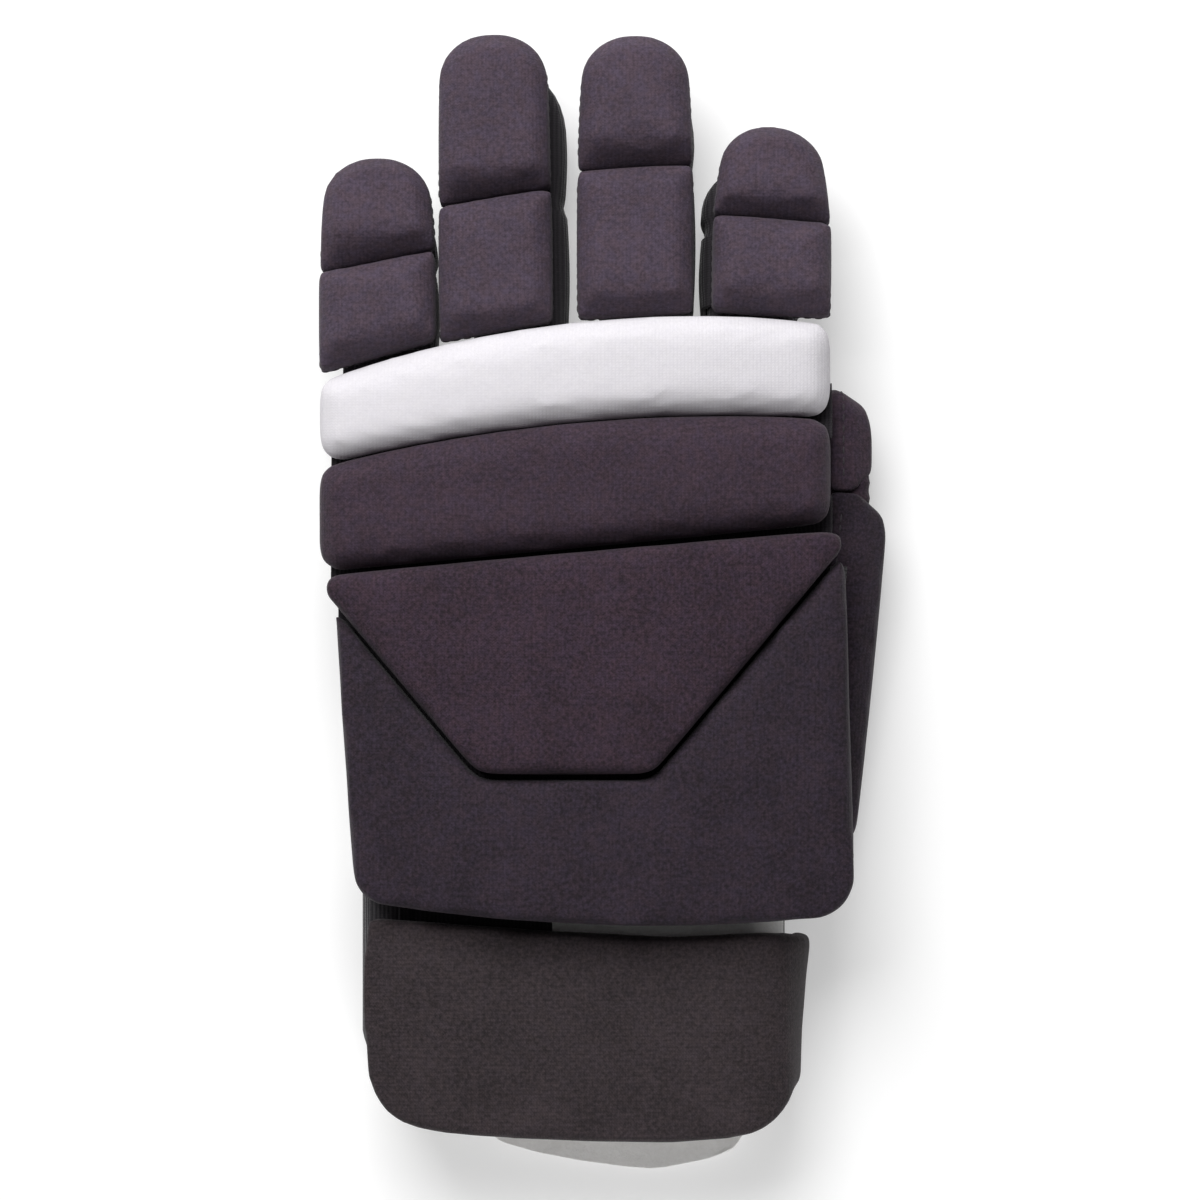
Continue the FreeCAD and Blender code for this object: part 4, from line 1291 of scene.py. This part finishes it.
# How far the tongue reaches behind the lining's tube, across it, as a share of its full length.
TONGUE = ((0.0, 0.08, 0.2, 0.35, 0.5, 0.65, 0.8, 0.9, 0.96, 1.0),
          (0.4, 0.68, 0.95, 1.15, 1.28, 1.34, 1.3, 1.15, 0.95, 0.55))


def curve_rear(piece, low, high, reach, edge):
    """Bring a tube's rear edge forward by an amount that changes across it, given in mm."""
    with moving(piece) as spots:
        across = (spots[:, 0] - low.x) / (high.x - low.x)
        spots[:, 1] += fading(spots[:, 1] - low.y, reach) * np.interp(across, *edge) * MM


def cuff_band():
    """The knitted band round the wrist, cut out at the top so that the wrist can bend back."""
    low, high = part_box("wrist_band")
    wall, corner = 2.5 * MM, 11 * MM
    band = rounded_ring("cuff_band", low.x, high.x, low.z, high.z, corner)
    draw_out(band, even_stations(low.y, high.y, 20))
    left, right, rear = low.x + 12 * MM, high.x - 10.7 * MM, high.y - 13 * MM
    for place, way in (((left, 0, 0), X_WAY), ((right, 0, 0), X_WAY), ((0, rear, 0), Y_WAY)):
        cut_through(band, place, way)
    cut_out(band, "polygons", lambda face: left < face.center.x < right and face.center.y > rear
            and face.center.z > high.z - wall)
    lay_cloth(band)
    curve_rear(band, low, high, 40 * MM, BAND_REAR)
    thicken(band, wall, 0.8 * MM, inwards=True)
    girth, length = round_length(high.x - low.x, high.z - low.z, corner), high.y - low.y
    notch = (right - left) * (high.y - rear)
    settle(band, "band knit", "cuff", "dark_sleeve", ["wrist_band"], flat=(length, girth),
           rests_on=["cuff_lining"], area=girth * length - (notch + CURVED_OFF))


def cuff_lining():
    """The brushed tube inside the cuff, with its tongue under the heel of the hand."""
    low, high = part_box("wrist_lining")
    band_low, band_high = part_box("wrist_band")
    tube_rear, corner = band_low.y - 3 * MM, 8.2 * MM
    left, right = band_low.x + 28.5 * MM, band_high.x - 5.4 * MM
    tube = rounded_ring("cuff_lining", low.x, high.x, low.z, high.z, corner, cuts=19)
    draw_out(tube, even_stations(tube_rear, high.y, 24))
    for x in (left, right):
        cut_through(tube, (x, 0, 0), X_WAY)
    spots = tube.data.vertices

    def tongue_root(edge):
        ends = [spots[end].co for end in edge.vertices]
        return all(abs(end.y - tube_rear) < 0.1 * MM and end.z < low.z + 0.5 * MM
                   and left - 0.1 * MM < end.x < right + 0.1 * MM for end in ends)

    choose(tube, "edges", tongue_root)
    middle, half = (left + right) / 2, (right - left) / 2
    place, wide = tube_rear, 1.0
    with editing(tube, "EDGE"):
        for degrees in (15, 30, 45, 60, 75, 90):
            angle = math.radians(degrees)
            next_place = tube_rear - (tube_rear - low.y) * math.sin(angle)
            next_wide = 1 - 5 * MM * (1 - math.cos(angle)) / half
            extrude_on(next_place - place, next_wide / wide, centre=(middle, 0, 0))
            place, wide = next_place, next_wide
    lay_cloth(tube)
    with moving(tube) as spots:
        share = np.interp((spots[:, 0] - left) / (right - left), *TONGUE)
        spots[:, 1] += np.clip(tube_rear - spots[:, 1], 0, None) * (1 - share)
    curve_rear(tube, low, high, 45 * MM, LINING_REAR)
    thicken(tube, LINING_THICK, 0.25 * MM, inwards=True)
    girth, length = round_length(high.x - low.x, high.z - low.z, corner), high.y - low.y
    tongue = (right - left) * (tube_rear - low.y)
    settle(tube, "brushed lining", "cuff", "white_lining", ["wrist_lining"], flat=(length, girth),
           rests_on=["cuff_band"], area=girth * (high.y - tube_rear) + tongue - CURVED_OFF)


def patch_of(name, node, upright=False):
    """A patch of tape or web with rounded corners, as large as its CAD sheet; also how large."""
    low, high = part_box(node)
    size = high - low
    width, length, thick = size.zyx if upright else size
    turn = ON_ITS_SIDE if upright else Matrix.Identity(4)
    patch = square(name)
    with editing(patch, whole=True):
        bpy.ops.transform.resize(value=(width, length, 1), center_override=(0, 0, 0))
        bpy.ops.mesh.bevel(offset=1.5 * MM, segments=4, affect="VERTICES")
        bpy.ops.mesh.extrude_region_move(TRANSFORM_OT_translate={"value": (0, 0, thick)})
        face_outwards()
        bpy.ops.transform.translate(value=(0, 0, -thick / 2))
    lay_cloth(patch)
    patch.data.transform(Matrix.Translation((low + high) / 2) @ turn)
    round_over(patch, 0.2 * MM)
    return patch, (width, length)


def anchor_web():
    """The web that the strap hinges on. Its foot is sewn to the band and its top to the strap."""
    low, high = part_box("strap_anchor")
    web, _ = patch_of("strap_anchor_web", "strap_anchor", upright=True)
    rows = 9
    for step in range(1, rows):
        cut_through(web, (0, 0, low.z + (high.z - low.z) * step / rows), Z_WAY)
    settle(web, "elastic", ("cuff", "strap", (0, 0, low.z + 0.5 * MM), (0, 0, high.z - 1 * MM)),
           "elastic_web", ["strap_anchor"])


cuff_band()
cuff_lining()
for kind, body, under in (("loop", "cuff", "cuff_band"), ("hook", "strap", "strap_pad")):
    patch, size = patch_of(kind + "_tape_patch", kind + "_patch")
    settle(patch, kind + "s", body, kind + "_tape", [kind + "_patch"], flat=size, rests_on=[under])
anchor_web()


# ---------------------------------------------------------------- floor, lights and camera

def floor():
    sheet = square("floor", 4, -0.2 * MM)
    finish = Finish("floor", 0.0, 0.9)
    finish.give({"Base Color": tint(0.66, 0.66, 0.66), "Emission Color": (1, 1, 1, 1),
                 "Emission Strength": 0.38})
    sheet.data.materials.append(finish.material)
    sheet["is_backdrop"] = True


def soft_light(name, place, towards, width, power):
    bpy.ops.object.light_add(type="AREA", location=place)
    light = bpy.context.object
    light.name = name
    light.data.size = width
    light.data.energy = power
    light.visible_camera = False
    light.rotation_euler = (Vector(towards) - Vector(place)).to_track_quat("-Z", "Y").to_euler()


def surroundings(brightness):
    world = bpy.data.worlds.new("studio")
    world.use_nodes = True
    background = world.node_tree.nodes["Background"]
    background.inputs["Color"].default_value = (1, 1, 1, 1)
    background.inputs["Strength"].default_value = brightness
    bpy.context.scene.world = world


# The camera looks straight down on the back of the hand. VIEW_WIDTH is what it takes in at the
# height of the pads' tops.
VIEW_WIDTH = 0.281
VIEW_CENTRE = Vector((-0.00035, 0.0008, 0.040))
CAMERA_HEIGHT = 1.3
SENSOR_WIDTH = 36

floor()
surroundings(0.15)
soft_light("key light", (-0.25, 0.78, 0.98), (0, 0, 0), 0.9, 22.0)
soft_light("fill light", (0.15, -1.1, 0.6), (0, 0, 0), 1.0, 1.5)
soft_light("low light", (0.03, -0.27, 0.08), (0.005, -0.13, 0), 0.12, 0.09)
bpy.ops.object.camera_add(location=VIEW_CENTRE + CAMERA_HEIGHT * Z_WAY)
camera = bpy.context.object
camera.data.sensor_width = SENSOR_WIDTH
camera.data.lens = SENSOR_WIDTH * CAMERA_HEIGHT / VIEW_WIDTH
bpy.context.scene.camera = camera
bpy.context.scene.view_settings.view_transform = "Standard"

boxes = {"cad": cad_box, "looks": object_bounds()}
{name: [list(corner) for corner in box] for name, box in boxes.items()}
